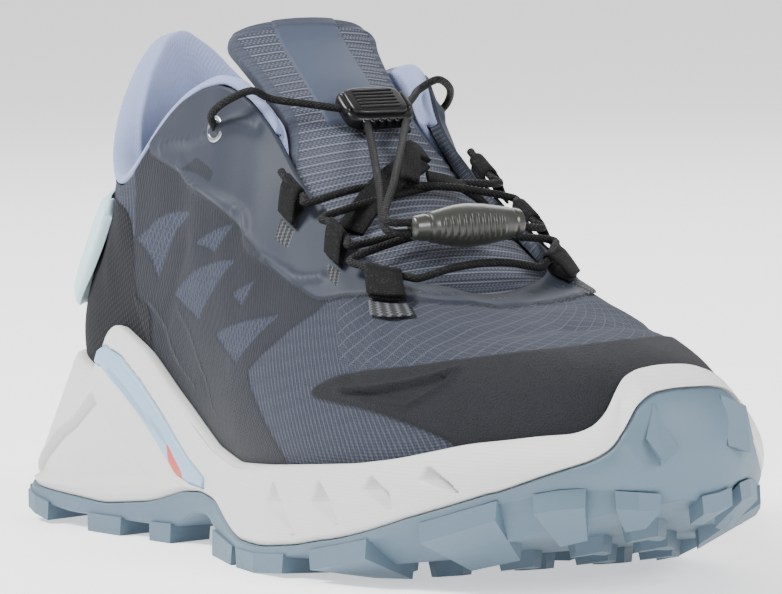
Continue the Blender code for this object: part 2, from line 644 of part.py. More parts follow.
def make_midsole():
    """One foam body with a raised rim, notches, a hollow in the heel's side and grooves for the bands."""
    outer, inner = both_sides(LADDER)
    low = middle_height(LADDER) + OUTSOLE_BASE + GAP
    sections = ladder_sections(midsole_wall(outer), midsole_wall(inner), low, column("foot_z", LADDER) - GAP)
    body = loft("midsole", sections, "foam")
    cuts = []
    ends = np.arange(BAND_LINES[0][0], BAND_LINES[-1][0] + .01, .35)
    wide = np.concatenate([ends[:1] - .02, ends[1:-1], ends[-1:] + .02])
    for side, mirrored in (("outer", False), ("inner", True)):
        for top_s, top_z, left, right, side_z, foot_s, foot_z in NOTCHES:
            corners = [(top_s, top_z, -1), (left, side_z, -1), (right, side_z, -1), (foot_s, foot_z, -1),
                       (right, side_z - .06, NOTCH_DEPTH / MM)]
            cuts.append(side_hull(corners, mirrored))
        corners = [(s, z, -1) for s, z in HOLLOW]
        corners += [(s * .9 + 2.95 * .1, z * .9 + .058, HOLLOW_DEPTH / MM) for s, z in HOLLOW]
        cuts.append(side_hull(corners, mirrored))
        groove = loft("groove", band_sections(wide, mirrored, BAND_DEPTH + GAP, 3 * MM, GAP), "foam")
        work = bmesh.new()
        work.from_mesh(groove.data)
        cuts.append(work)
        bpy.data.objects.remove(groove)
        loft("sole_band_" + side, band_sections(ends, mirrored, BAND_DEPTH, BAND_PROUD, 0), "rubber")
    combine(body, tool("midsole_cuts", cuts), "DIFFERENCE")
    return body


def side_hull(corners, mirrored):
    """A convex tool given by stations, heights and insets in millimetres on the sole's side."""
    return hull([side_point(ROUND - s if mirrored else s, z * HEEL_STACK, inset * MM) for s, z, inset in corners])


def make_upper():
    """The upper is one hollow wall round the foot, open underneath and at collar and throat."""
    stations = np.concatenate([UPPER_LADDER, (ROUND - UPPER_LADDER[-2:0:-1])])
    shares = np.array([0, .08, .16, .25, .35, .45, .56, .67, .78, .89, 1])
    inner = np.array([1, .92, .83, .73, .6, .45, .3, .15, 0])
    outside = upper_point(stations[:, None], shares[None, :], 0)
    inside = upper_point(stations[:, None], inner[None, :], -UPPER_WALL)
    return loft("upper", np.concatenate([outside, inside], 1), "upper", closed=True)


def mirrored_rows(rows):
    """Rows of a table for the outer side, followed by the same rows for the inner side."""
    rows = list(rows)
    return rows + [(ROUND - row[0], *row[1:]) for row in reversed(rows) if row[0] not in (0.0, float(TOE))]


def stations_between(first, last):
    """The stations of the upper's own sections between two ends, so that what lies on it fits its facets."""
    around = np.concatenate([UPPER_LADDER, ROUND - UPPER_LADDER[-2:0:-1], ROUND + UPPER_LADDER])
    around = np.concatenate([around - ROUND, around])
    inside = np.unique(np.round(around[(around > first + .12) & (around < last - .12)], 6))
    return np.concatenate([[first], inside, [last]])


def overlay(name, rows, look, thickness, count=4, stand=None, above_rim=False):
    """A layer on the upper between two lines given as rows of station, lower share and upper share."""
    places, lows, highs = np.array(sorted(rows)).T
    stations = stations_between(places[0], places[-1])
    low, high = np.interp(stations, places, lows), np.interp(stations, places, highs)
    if above_rim:
        low = np.maximum(low, share_at_height(stations, rim_height(stations) + 2 * GAP))
    shares = low[:, None] + (high - low)[:, None] * np.linspace(0, 1, count)[None, :]
    lift = OVERLAY_GAP + (stand(stations)[:, None] if stand else 0)
    outside = upper_point(stations[:, None], shares, lift + thickness)
    inside = upper_point(stations[:, None], shares[:, ::-1], lift)
    return loft(name, np.concatenate([outside, inside], 1), look)


def make_overlays():
    overlay("toe_cap", TOE_CAP, "toe", TOE_CAP_THICKNESS, 5, above_rim=True)
    overlay("eyestay", mirrored_rows(EYESTAY), "film", FILM_THICKNESS, 5)
    heel_rows = [(-s, low, high) for s, low, high in HEEL_TAB[1:]] + list(HEEL_TAB)
    reach = HEEL_TAB[-1][0]
    overlay("heel_tab", heel_rows, "tab", PULL_TAB_THICKNESS, 4,
            stand=lambda s: HEEL_TAB_STAND * (1 - np.abs(s / reach) ** 3))


def padding(station):
    """How thick the collar's padding is: thinner towards the front of the throat."""
    along = np.abs((np.asarray(station, float) + TOE) % ROUND - TOE)
    return COLLAR_PADDING * (1 - .65 * smoothstep(4.8, LINING_END, along))


def make_lining():
    """The padded lining of the collar: a pad inside the wall whose bead rolls over the top edge."""
    stations = stations_between(-LINING_END, LINING_END)
    wall, pad = UPPER_WALL + 2 * GAP, padding(stations)
    ring = [(-1, -wall), (-1, -wall - .25 * pad), (-.62, -wall - .8 * pad), (-.2, -wall - pad), (.04, -wall - pad)]
    points = [near_top(stations, e * COLLAR_DEPTH, d) for e, d in ring]
    bead = [(.8, -.72), (1.0, -.36), (.8, -.04), (.12, .0), (.12, -.5)]
    for up, out in bead:
        points.append(near_top(stations, up * BEAD_HEIGHT, out * (wall + pad)))
    points.append(near_top(stations, GAP, -wall))
    points += [near_top(stations, down * COLLAR_DEPTH, -wall) for down in (-.25, -.5, -.75)]
    return loft("collar_lining", np.stack(points, 1), "lining")


def make_insole():
    """The insole lies on the midsole inside the upper's lower edge."""
    outer, inner = both_sides(LADDER)
    walls = []
    for stations in (outer, inner):
        wall = []
        for rise in (0, INSOLE_THICKNESS):
            level = column("foot_z", stations) + rise
            depth = -(UPPER_WALL + INSOLE_EASE)
            edge = upper_point(stations, share_at_height(stations, level, depth), depth)
            edge[:, 2] = level
            wall.append(edge)
        walls.append(wall)
    level = column("foot_z", LADDER)
    sections = ladder_sections(*walls, level, level + INSOLE_THICKNESS, (.35, .65), (.35, .65))
    return loft("insole", sections, "insole")


def throat_normal(station):
    """The direction square to the throat, upwards and forwards, at a station of its edge."""
    dx = column("top_x", station + .5) - column("top_x", station - .5)
    dz = column("top_z", station + .5) - column("top_z", station - .5)
    normal = np.array([-dz, 0, dx])
    return normal / np.linalg.norm(normal)


def tongue_line(station, across_share, crown, lift=0.0):
    """A point over the gap of the throat: 0 at its outer edge, 1 at its inner edge."""
    depth = -(UPPER_WALL + TONGUE_EASE)
    ends = [near_top(side, 0, depth) for side in (station, ROUND - station)]
    height = crown * 4 * across_share * (1 - across_share) + lift
    return ends[0] * (1 - across_share) + ends[1] * across_share + throat_normal(station) * height


def make_tongue():
    """A padded tongue from under the vamp up through the throat and above the collar."""
    depth = -(UPPER_WALL + TONGUE_EASE)
    front = np.linspace(TONGUE_FRONT[1], ROUND - TONGUE_FRONT[1], 11)
    rows = [(near_top(front, -TONGUE_FRONT[0] * BALL_WIDTH, depth), throat_normal(TONGUE_FRONT[1]))]
    for station, reach, crown in TONGUE_THROAT:
        hidden = [near_top(side, -reach * BALL_WIDTH * part, depth)
                  for side in (station, ROUND - station) for part in (1, .5)]
        gap = [tongue_line(station, share, crown * BALL_WIDTH) for share in np.linspace(0, 1, 7)]
        rows.append((np.array([*hidden[:2], *gap, *hidden[:1:-1]]), throat_normal(station)))
    lean = throat_normal(TONGUE_THROAT[-1][0])
    for x, z, half, fall in TONGUE_TOP:
        u = np.array([-1, -.9, -.75, -.5, -.25, 0, .25, .5, .75, .9, 1])
        centre = np.array((x * LENGTH, 0, z * COLLAR_HEIGHT))
        arch = fall * BALL_WIDTH * np.abs(u) ** 2.4
        points = centre + np.outer(u * half * BALL_WIDTH, (0, 1, 0)) - np.outer(arch, lean)
        rows.append((points, lean))
    thin = np.array([.35, .8, 1, 1, 1, 1, 1, 1, 1, .8, .35])
    sections = []
    for index, (points, normal) in enumerate(rows):
        thick = TONGUE_THICKNESS * thin * (.35 if index == 0 else .6 if index in (1, len(rows) - 1) else 1)
        sections.append(np.concatenate([points, (points - np.outer(thick, normal))[::-1]]))
    return loft("tongue", sections, "upper")


def stations_per_metre(station):
    """How many stations there are to a metre of the throat's edge."""
    return .1 / np.linalg.norm(near_top(station + .05, 0, 0) - near_top(station - .05, 0, 0))


def eye_place(side, row):
    """The station and the distance past the edge of a loop's eye."""
    station, past = LOOP_EYES[side][row - 1]
    return (station if side == "outer" else ROUND - station), past * WEBBING_WIDTH


LAYER_BASE = 2 * OVERLAY_GAP + FILM_THICKNESS
EYE_HEIGHT = LAYER_BASE + WEBBING_THICKNESS + LACE_DIAMETER / 2 + LOOP_EASE


def make_lace_loops():
    """Loops of webbing on the eyestay. Each strap folds round the cord and back, a hair open at its foot."""
    inner_r = LACE_DIAMETER / 2 + LOOP_EASE
    outer_r = inner_r + WEBBING_THICKNESS

    def arc(radius, angles):
        return [radius * np.array((math.cos(math.radians(a)), math.sin(math.radians(a)))) for a in angles]

    strap = [(-LOOP_REACH, -EYE_HEIGHT + LAYER_BASE), (-LOOP_REACH, -EYE_HEIGHT + LAYER_BASE + WEBBING_THICKNESS)]
    hole = arc(inner_r, range(-150, 210, 40))
    outline = strap[1:] + arc(outer_r, (122, 80, 40, 0, -45, -88)) + strap[:1]
    for side in ("outer", "inner"):
        for row in (1, 2, 3):
            station, past = eye_place(side, row)
            per_metre = stations_per_metre(station)
            sections, holes = [], []
            for half in (-.5, 0, .5):
                there = station + half * WEBBING_WIDTH * per_metre
                sections.append([near_top(there, past + e, EYE_HEIGHT + d) for e, d in outline])
            for half in (-.6, 0, .6):
                there = station + half * WEBBING_WIDTH * per_metre
                holes.append([near_top(there, past + e, EYE_HEIGHT + d) for e, d in hole])
            loop = loft(f"lace_loop_{side}_{row}", sections, "lace")
            combine(loop, cutter(loft("eye", holes, "lace")), "DIFFERENCE")


def cutter(obj):
    """Moves an object to the cutters, where it is hidden."""
    bpy.data.collections[NAME].objects.unlink(obj)
    bpy.data.collections["Cutters"].objects.link(obj)
    obj.hide_render = True
    obj.display_type = "WIRE"
    return obj


def eye_point(side, row, end=0):
    """The middle of a loop's eye, or a point just outside its front end, 1, or its rear end, -1."""
    station, past = eye_place(side, row)
    reach = end * (WEBBING_WIDTH * .5 + LACE_DIAMETER * .5) * stations_per_metre(station)
    return near_top(station + (reach if side == "outer" else -reach), past, EYE_HEIGHT)


def spline(points, per_run=4):
    """A smooth path through the route's points, as many steps to each run."""
    p = np.array(points)
    p = np.concatenate([[2 * p[0] - p[1]], p, [2 * p[-1] - p[-2]]])
    path = []
    for i in range(1, len(p) - 2):
        for u in np.arange(per_run) / per_run:
            path.append(.5 * (2 * p[i] + (p[i + 1] - p[i - 1]) * u + (2 * p[i - 1] - 5 * p[i] + 4 * p[i + 1]
                        - p[i + 2]) * u**2 + (3 * p[i] - p[i - 1] - 3 * p[i + 1] + p[i + 2]) * u**3))
    return path + [p[-2]]


def tube(name, points, diameter, look):
    """A cord as a round tube along a path, with closed ends."""
    curve = bpy.data.curves.new(name, "CURVE")
    curve.dimensions = "3D"
    curve.bevel_depth = diameter / 2
    curve.bevel_resolution = 2
    curve.use_fill_caps = True
    line = curve.splines.new("POLY")
    line.points.add(len(points) - 1)
    for spot, point in zip(line.points, points):
        spot.co = (*point, 1)
    obj = bpy.data.objects.new(name, curve)
    bpy.data.collections[NAME].objects.link(obj)
    curve.materials.append(material(look))
    return obj


def as_mesh(obj):
    """The curve as a mesh with its caps welded on."""
    graph = bpy.context.evaluated_depsgraph_get()
    mesh = bpy.data.meshes.new_from_object(obj.evaluated_get(graph))
    work = bmesh.new()
    work.from_mesh(mesh)
    bmesh.ops.remove_doubles(work, verts=work.verts, dist=1e-6)
    bmesh.ops.recalc_face_normals(work, faces=work.faces)
    work.to_mesh(mesh)
    work.free()
    name, look = obj.name, obj.data.materials[0]
    bpy.data.objects.remove(obj)
    made = bpy.data.objects.new(name, mesh)
    bpy.data.collections[NAME].objects.link(made)
    if not mesh.materials:
        mesh.materials.append(look)
    return made


def strand(start, end, hump):
    """The three inner points of a strand between two eyes, bowed over the tongue."""
    up = throat_normal(LOOP_EYES["outer"][1][0])
    return [start * (1 - u) + end * u + up * hump * 4 * u * (1 - u) for u in (.25, .5, .75)]


def lace_half(side, other):
    """The route of half of the lacing, from one side's lowest eye to and fro up to the highest eye."""
    route = [eye_point(side, 3, end) for end in EYE_STEPS]
    here, there = side, other
    for row in (2, 1):
        route += strand(route[-1], eye_point(there, row, 1), LACE_HUMP)
        route += [eye_point(there, row, end) for end in EYE_STEPS]
        here, there = there, here
    return route


def make_lace():
    """The lacing is one cord that crosses itself. The crossings are joined, so that it is one solid."""
    halves = lace_half("outer", "inner"), lace_half("inner", "outer")
    bar = strand(halves[0][0], halves[1][0], LACE_HUMP)
    lacing = as_mesh(tube("lace", spline(halves[0][::-1] + bar + halves[1], 3), LACE_DIAMETER, "lace"))
    middle = hull([bar[1] + np.array(corner) * LACE_DIAMETER * .2 for corner in CORNERS])
    combine(lacing, tool("lace_middle", [middle]), "UNION")


def lock_axes():
    """The lock's directions: across the shoe, up the tongue and square to it."""
    lean = throat_normal(TONGUE_THROAT[-1][0])
    return np.array((0, 1.0, 0)), np.array((-lean[2], 0, lean[0])), lean


def lock_point(across, up, out):
    """A point of the lock, in halves of its width, length and thickness."""
    sizes = (LOCK_WIDTH / 2, LOCK_LENGTH / 2, LOCK_THICKNESS / 2)
    moves = [part * size * axis for part, size, axis in zip((across, up, out), sizes, lock_axes())]
    return np.array(LOCK_PLACE) + sum(moves)


def make_hardware():
    """Metal eyelets, the lock that pinches the cords and the grip on their ends."""
    for side in ("outer", "inner"):
        station = EYELET_STATION if side == "outer" else ROUND - EYELET_STATION
        per_metre = stations_per_metre(station)
        sections = []
        for angle in np.linspace(0, 2 * math.pi, 16, endpoint=False):
            ring = []
            for radius, lift in ((EYELET_HOLE, 0), (EYELET_RADIUS, 0), (EYELET_RADIUS, .55), (EYELET_HOLE, 1)):
                there = station + math.cos(angle) * radius * per_metre
                below = -EYELET_BELOW_EDGE + math.sin(angle) * radius
                ring.append(near_top(there, below, LAYER_BASE + lift * EYELET_THICKNESS))
            sections.append(ring)
        loft("eyelet_" + side, sections, "metal", closed=True)
    corners = [(x, y, z) for x, y in ((-1, -.5), (-1, .6), (-.8, 1), (.8, 1), (1, .6), (1, -.5), (.85, -1), (-.85, -1))
               for z in (-1, .4)]
    corners += [(x * .86, y * .82, 1) for x, y in ((-1, -.6), (-1, .6), (-.8, 1), (.8, 1), (1, .6), (1, -.6))]
    body = hull([lock_point(*corner) for corner in corners])
    mesh = bpy.data.meshes.new("lace_lock")
    body.to_mesh(mesh)
    body.free()
    tidy(mesh)
    new_object("lace_lock", mesh, "plastic")
    sections = []
    for place, radius in GRIP_OUTLINE:
        centre = np.array(GRIP_PLACE) + (0, place * MM - GRIP_LENGTH / 2, 0)
        angles = np.linspace(0, 2 * math.pi, 16, endpoint=False)
        sections.append([centre + radius * MM * np.array((math.cos(a), 0, math.sin(a))) for a in angles])
    loft("pull_grip", sections, "grip")


def make_free_cords():
    """The cords from the eyelets over the bead to the lock, and from the lock to the grip."""
    for side, turn in (("outer", -1), ("inner", 1)):
        route = []
        for step, past, out in REACH_STEPS:
            station = EYELET_STATION + step
            route.append(near_top(station if side == "outer" else ROUND - station, past * MM, out * MM))
        goal = lock_point(turn, 0, 0) + np.array((0, turn, 0)) * (GAP + 1 * MM)
        route += [route[-1] * .5 + goal * .5, goal]
        tube("lace_reach_" + side, spline(route, 4), LACE_DIAMETER, "lace")
        across, end_z = TAILS[side]
        start = lock_point(across / (LOCK_WIDTH / 2 / MM), -1, -.1) - lock_axes()[1] * (GAP + .6 * MM)
        end = np.array(GRIP_PLACE) + (0, -GRIP_LENGTH / 2 - 1.2 * MM, end_z * MM)
        before = end + np.array((-3.5, -3.8, 1.2)) * MM
        out = lock_axes()[2] * (1.5 + turn * .9) * MM
        route = [start, start * .9 + before * .1 + out * .4, start * .62 + before * .38 + out,
                 start * .3 + before * .7 + out, before, end]
        tube("lace_tail_" + side, spline(route, 5), LACE_DIAMETER, "lace")


def centre_on_floor():
    """Moves every mesh so that the origin is on the floor under the middle of the shoe's box."""
    graph = bpy.context.evaluated_depsgraph_get()
    corners = []
    for obj in bpy.data.collections[NAME].objects:
        mesh = obj.evaluated_get(graph).to_mesh()
        places = np.empty(len(mesh.vertices) * 3)
        mesh.vertices.foreach_get("co", places)
        corners += [places.reshape(-1, 3).min(0), places.reshape(-1, 3).max(0)]
    low, high = np.min(corners, 0), np.max(corners, 0)
    shift = Vector((-(low[0] + high[0]) / 2, -(low[1] + high[1]) / 2, -low[2]))
    for obj in [*bpy.data.collections[NAME].objects, *bpy.data.collections["Cutters"].objects]:
        obj.location = shift
    return shift


def build():
    clear_scene()
    scene = bpy.context.scene
    for name in (NAME, "Cutters"):
        if name not in bpy.data.collections:
            scene.collection.children.link(bpy.data.collections.new(name))
    make_upper()
    make_midsole()
    make_outsole()
    make_insole()
    make_tongue()
    make_overlays()
    make_lining()
    make_lace_loops()
    make_lace()
    make_hardware()
    make_free_cords()
    return centre_on_floor()


moved = build()
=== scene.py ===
# %% [markdown]
# A trail running shoe for the right foot, dressed for its photograph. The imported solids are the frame.
# Each soft or moulded form is worked out again on a fine grid from the same short tables that shaped the
# solid, so it lies where the solid lies, and it then gets its seams, creases and material.

# %% The frame and the numbers that everything shares
import math

import bmesh
import bpy
import numpy as np
from mathutils import Matrix, Vector


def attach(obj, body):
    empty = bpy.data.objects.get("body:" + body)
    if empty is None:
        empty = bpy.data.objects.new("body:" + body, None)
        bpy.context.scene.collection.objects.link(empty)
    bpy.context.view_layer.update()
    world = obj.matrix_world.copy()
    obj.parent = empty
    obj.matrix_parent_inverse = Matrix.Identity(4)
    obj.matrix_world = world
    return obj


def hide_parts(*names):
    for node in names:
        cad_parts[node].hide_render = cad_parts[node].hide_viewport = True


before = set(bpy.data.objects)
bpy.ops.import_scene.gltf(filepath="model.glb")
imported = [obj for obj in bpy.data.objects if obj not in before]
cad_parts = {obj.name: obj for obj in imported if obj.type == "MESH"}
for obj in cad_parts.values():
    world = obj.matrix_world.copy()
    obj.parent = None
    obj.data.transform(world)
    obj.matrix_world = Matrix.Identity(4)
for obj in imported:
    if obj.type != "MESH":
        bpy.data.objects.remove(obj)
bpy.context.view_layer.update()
MM = 0.001
TOE, ROUND = 13, 26
LENGTH, BALL_WIDTH, HEEL_WIDTH, COLLAR_HEIGHT = .290, .104, .088, .127
HEEL_STACK, FOREFOOT_STACK, TOE_SPRING, HEEL_BEVEL = .036, .020, .020, .005
GAP, RIM_WALL, OUTSOLE_BASE, OUTSOLE_WRAP = .3 * MM, 3 * MM, 1.5 * MM, 2.4 * MM
LUG_HEIGHT, LUG_ROOT, LUG_PROUD, ARCH_LIFT = 4 * MM, .8 * MM, 1.2 * MM, 5 * MM
UPPER_WALL = 2.2 * MM
# The solids are centred on the floor when they are built. This is the move from the tables' own origin.
SHIFT = np.array((-.14495403, .00239472, 0))
print("nodes in the frame:", len(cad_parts))

# %% [markdown]
# The camera comes first, because what it sees decides where detail is worth its triangles. Its place, its
# roll and its long lens were solved from the outline of the shoe in the photograph.

# %% Camera
CAMERA_PLACE = Vector((1.635946, -.837306, .197902))
CAMERA_RIGHT = Vector((.456570, .889421, -.021773))
CAMERA_UP = Vector((-.054626, .052451, .997128))
LENS_MM = 336.96
camera = bpy.data.objects.new("camera", bpy.data.cameras.new("camera"))
bpy.context.scene.collection.objects.link(camera)
camera.data.lens, camera.data.sensor_width = LENS_MM, 36
camera.data.clip_end = 20
back = CAMERA_RIGHT.cross(CAMERA_UP)
turned = Matrix((CAMERA_RIGHT, CAMERA_UP, back)).transposed().to_4x4()
camera.matrix_world = Matrix.Translation(CAMERA_PLACE) @ turned
bpy.context.scene.camera = camera
print("camera at", tuple(round(v, 3) for v in CAMERA_PLACE))

# %% [markdown]
# Every form follows one loop round the foot. Station 0 is the middle of the heel, 13 the tip of the toe,
# the outer side comes first and the inner side after it. The table gives the forms at each whole station.

# %% The table of the last
COLUMNS = "foot_x foot_y foot_z top_x top_y top_z rise flare drop spread tread_x tread_y bow".split()
HEEL_ROW = (.045, .000, 1.06, .044, .000, .975, .33, .18, .30, -.13, .000, .000, .02)
OUTER_ROWS = (
    (.062, .262, 1.00, .060, .130, .922, .33, .17, .30, -.11, .006, .310, .02),
    (.117, .360, .94, .103, .280, .790, .33, .15, .30, -.06, .038, .494, .03),
    (.188, .376, .84, .166, .360, .707, .33, .12, .33, .00, .148, .506, .03),
    (.262, .372, .72, .240, .352, .820, .33, .12, .33, .02, .245, .482, .00),
    (.328, .375, .53, .308, .328, .905, .33, .12, .33, .05, .331, .455, .00),
    (.396, .386, .31, .368, .300, .916, .33, .13, .32, .09, .407, .450, .00),
    (.476, .408, .16, .418, .250, .840, .33, .14, .28, .14, .489, .478, .02),
    (.569, .436, .06, .476, .239, .738, .32, .13, .22, .18, .579, .516, .03),
    (.676, .444, .03, .545, .230, .662, .31, .09, .18, .22, .690, .495, .04),
    (.786, .392, .12, .608, .236, .592, .31, .06, .14, .24, .806, .430, .05),
    (.882, .285, .38, .641, .192, .562, .31, .05, .11, .28, .903, .302, .08),
    (.947, .152, .63, .659, .106, .540, .33, .05, .09, .35, .966, .150, .12),
)
TOE_ROW = (.970, -.036, .75, .665, .000, .524, .335, .05, .07, .40, .986, -.036, .13)
INNER_ROWS = (
    (.062, .250, 1.00, .060, .130, .922, .33, .17, .30, -.11, .009, .270, .03),
    (.117, .330, .94, .103, .274, .795, .33, .15, .30, -.06, .040, .440, .05),
    (.188, .342, .84, .166, .350, .722, .33, .12, .33, .00, .148, .465, .03),
    (.262, .320, .72, .240, .347, .834, .33, .13, .33, .02, .245, .435, .00),
    (.328, .290, .53, .308, .326, .912, .33, .14, .33, .05, .331, .372, .00),
    (.396, .278, .31, .368, .300, .922, .33, .16, .32, .09, .407, .332, .00),
    (.476, .294, .16, .418, .240, .846, .33, .15, .26, .14, .489, .342, .02),
    (.569, .344, .06, .476, .225, .742, .30, .11, .20, .17, .579, .402, .03),
    (.676, .400, .03, .545, .223, .662, .26, .07, .18, .18, .690, .466, .04),
    (.786, .394, .12, .608, .228, .590, .25, .05, .14, .20, .806, .442, .05),
    (.884, .306, .38, .641, .190, .560, .30, .05, .11, .30, .905, .330, .08),
    (.948, .182, .63, .659, .115, .538, .34, .05, .09, .37, .966, .180, .12),
)
# Lines on the sole's side: station from the heel, height as a share of the heel's stack
RIM_LINE = (
    (0.0, 1.27), (1.5, 1.24), (2.25, 1.15), (2.5, 1.17), (2.75, 1.34), (3.0, 1.47), (3.25, 1.50), (4.0, 1.34),
    (4.75, 1.07), (5.5, .86), (6.0, .74), (7.0, .683), (8.0, .73), (9.5, .825), (10.0, .88), (10.75, 1.00),
    (11.5, 1.07), (11.9, 1.09), (12.15, 1.17), (12.4, 1.36), (12.6, 1.43), (12.8, 1.45), (13.0, 1.46),
)
RIM_LINE_INNER_TOE = (
    (10.5, .98), (11.0, 1.06), (11.5, 1.16), (11.9, 1.28), (12.2, 1.39), (12.6, 1.45), (13.0, 1.46),
)
OUTSOLE_LINE = (
    (0.0, .62), (1.0, .60), (1.5, .27), (2.7, .235), (3.4, .21), (4.3, .27), (5.0, .375), (5.6, .40),
    (6.3, .35), (6.9, .25), (7.4, .185), (8.1, .185), (8.7, .24), (9.3, .32), (9.9, .45), (10.5, .57),
    (10.75, .68), (11.4, .83), (12.0, .95), (12.25, 1.06), (12.4, 1.21), (12.6, 1.35), (12.8, 1.38),
    (13.0, 1.39),
)
OUTSOLE_LINE_INNER_TOE = (
    (10.5, .62), (11.0, .72), (11.5, .83), (11.8, .95), (12.1, 1.14), (12.35, 1.32), (12.6, 1.38),
    (13.0, 1.39),
)
EDGE_LIFT = (
    (0.0, .00), (8.3, .00), (9.0, .20), (10.0, .36), (10.8, .42), (11.6, .34), (12.4, .12), (13.0, .00),
    (13.5, .06), (14.3, .30), (15.2, .36), (16.4, .30), (17.4, .14), (18.2, .00), (26.0, .00),
)
BAND_LINES = (
    (2.65, 1.22, 1.30), (3.05, 1.20, 1.345), (3.5, 1.07, 1.28), (4.0, .89, 1.12), (4.5, .68, .92),
    (4.9, .50, .75), (5.3, .45, .61), (5.8, .44, .50),
)


def smoothstep(low, high, value):
    """0 below low, 1 above high, and 3x^2 - 2x^3 between them."""
    share = np.clip((value - low) / (high - low), 0, 1)
    return share * share * (3 - 2 * share)


def local_width(share):
    """The width that goes with a place along the shoe, from the heel's to the ball's."""
    return HEEL_WIDTH + (BALL_WIDTH - HEEL_WIDTH) * smoothstep(.30, .55, share)


def station_table():
    """The rows as one array for each column, in metres: shares times the size that they belong to."""
    rows = [HEEL_ROW, *OUTER_ROWS, TOE_ROW, *reversed(INNER_ROWS)]
    sides = np.array([-1] * (TOE + 1) + [1] * (TOE - 1))
    table = {name: np.array([row[i] for row in rows]) for i, name in enumerate(COLUMNS)}
    for form in ("foot", "top", "tread"):
        table[form + "_y"] = table[form + "_y"] * local_width(table[form + "_x"]) * sides
        table[form + "_x"] = table[form + "_x"] * LENGTH
    table["foot_z"] = FOREFOOT_STACK + (HEEL_STACK - FOREFOOT_STACK) * table["foot_z"]
    table["top_z"] = table["top_z"] * COLLAR_HEIGHT
    table["bow"] = table["bow"] * HEEL_STACK
    return table


def bend_of(values):
    """Second differences of the closed cubic spline through the values, from its cyclic linear system."""
    count = len(values)
    matrix = np.eye(count) * 4 + np.roll(np.eye(count), 1, 0) + np.roll(np.eye(count), -1, 0)
    return np.linalg.solve(matrix / 6, np.roll(values, -1) - 2 * values + np.roll(values, 1))


TABLE = station_table()
BENDS = {name: bend_of(values) for name, values in TABLE.items()}


def column(name, station):
    """A column at any station: the cubic of the closed spline between the two rows beside it."""
    station = np.asarray(station, float) % ROUND
    low = np.floor(station).astype(int) % ROUND
    high = (low + 1) % ROUND
    share = station - np.floor(station)
    rest = 1 - share
    values, bends = TABLE[name], BENDS[name]
    return (rest * values[low] + share * values[high]
            + ((rest**3 - rest) * bends[low] + (share**3 - share) * bends[high]) / 6)


print("rows in the table:", ROUND)

# %% [markdown]
# The wall of the upper is a cubic curve at each station, from the lower edge to the top edge. The sole's side
# runs from the tread's outline to the rim round the upper, with a bulge. Both are functions of two numbers.

# %% The upper's wall and the sole's side as functions


def plan_normal(form, station):
    """The outward unit normal of an outline in plan: its tangent turned by a right angle."""
    step = 0.05
    dx = column(form + "_x", station + step) - column(form + "_x", station - step)
    dy = column(form + "_y", station + step) - column(form + "_y", station - step)
    length = np.hypot(dx, dy)
    return np.stack([dy / length, -dx / length, np.zeros_like(dx)], -1)


def wall_base(station, share):
    """The cubic curve foot, foot + rise + flare, top - drop + spread, top, and straight on past the top."""
    foot = np.stack([column("foot_" + axis, station) for axis in "xyz"], -1)
    top = np.stack([column("top_" + axis, station) for axis in "xyz"], -1)
    sideways = (foot - top) * (1, 1, 0)
    reach = np.linalg.norm(sideways, axis=-1, keepdims=True)
    size = np.linalg.norm(top - foot, axis=-1, keepdims=True)
    turn = np.clip(reach / (0.6 * size), 0, 1) * 0.6
    outward = plan_normal("top", station) * (1 - turn) + sideways / np.maximum(reach, 1e-9) * turn
    outward = outward / np.linalg.norm(outward, axis=-1, keepdims=True)
    up = np.array((0, 0, 1.0))
    handle = {name: column(name, station)[..., None] * size for name in ("rise", "flare", "drop", "spread")}
    first = foot + up * handle["rise"] + plan_normal("foot", station) * handle["flare"]
    second = top - up * handle["drop"] + outward * handle["spread"]
    along = np.clip(share, 0, 1)[..., None]
    rest = 1 - along
    curve = rest**3 * foot + 3 * rest**2 * along * first + 3 * rest * along**2 * second + along**3 * top
    return curve + np.maximum(share - 1, 0)[..., None] * 3 * (top - second)


def wall_normal(station, share):
    """The outward unit normal of the wall: the cross product of its two tangents."""
    ds, dt = 0.04, 0.02
    inner = np.clip(share, dt, 1 - dt)
    along = wall_base(station + ds, inner) - wall_base(station - ds, inner)
    upward = wall_base(station, inner + dt) - wall_base(station, inner - dt)
    normal = np.cross(along, upward)
    return normal / np.linalg.norm(normal, axis=-1, keepdims=True)


def wall(station, share, depth=0.0):
    """A point of the wall moved out by a depth along its normal."""
    station, share, depth = np.broadcast_arrays(*(np.asarray(v, float) for v in (station, share, depth)))
    return wall_base(station, share) + wall_normal(station, share) * depth[..., None]


def rows_interp(values, table_x, table_y):
    """Linear interpolation in many tables at once, one row of each array for one value."""
    place = (table_x < values[..., None]).sum(-1)
    high = np.clip(place, 1, table_x.shape[-1] - 1)[..., None]
    x0, x1 = (np.take_along_axis(table_x, k, -1)[..., 0] for k in (high - 1, high))
    y0, y1 = (np.take_along_axis(table_y, k, -1)[..., 0] for k in (high - 1, high))
    share = np.clip((values - x0) / np.maximum(x1 - x0, 1e-12), 0, 1)
    return y0 + (y1 - y0) * share


def near_top(station, distance, depth):
    """A point this far along the wall past the top edge, by arc length. Negative is below the edge."""
    given = (np.asarray(v, float) for v in (station, distance, depth))
    station, distance, depth = np.broadcast_arrays(*given)
    shares = np.linspace(1, 0, 41)
    points = wall_base(station[..., None] + 0 * shares, shares + 0 * station[..., None])
    steps = np.linalg.norm(np.diff(points, axis=-2), axis=-1)
    below = np.concatenate([np.zeros(station.shape + (1,)), np.cumsum(steps, -1)], -1)
    share = rows_interp(np.maximum(-distance, 0), below, shares + 0 * below)
    share = share + np.maximum(distance, 0) / steps[..., 0] * (shares[0] - shares[1])
    return wall(station, share, depth)


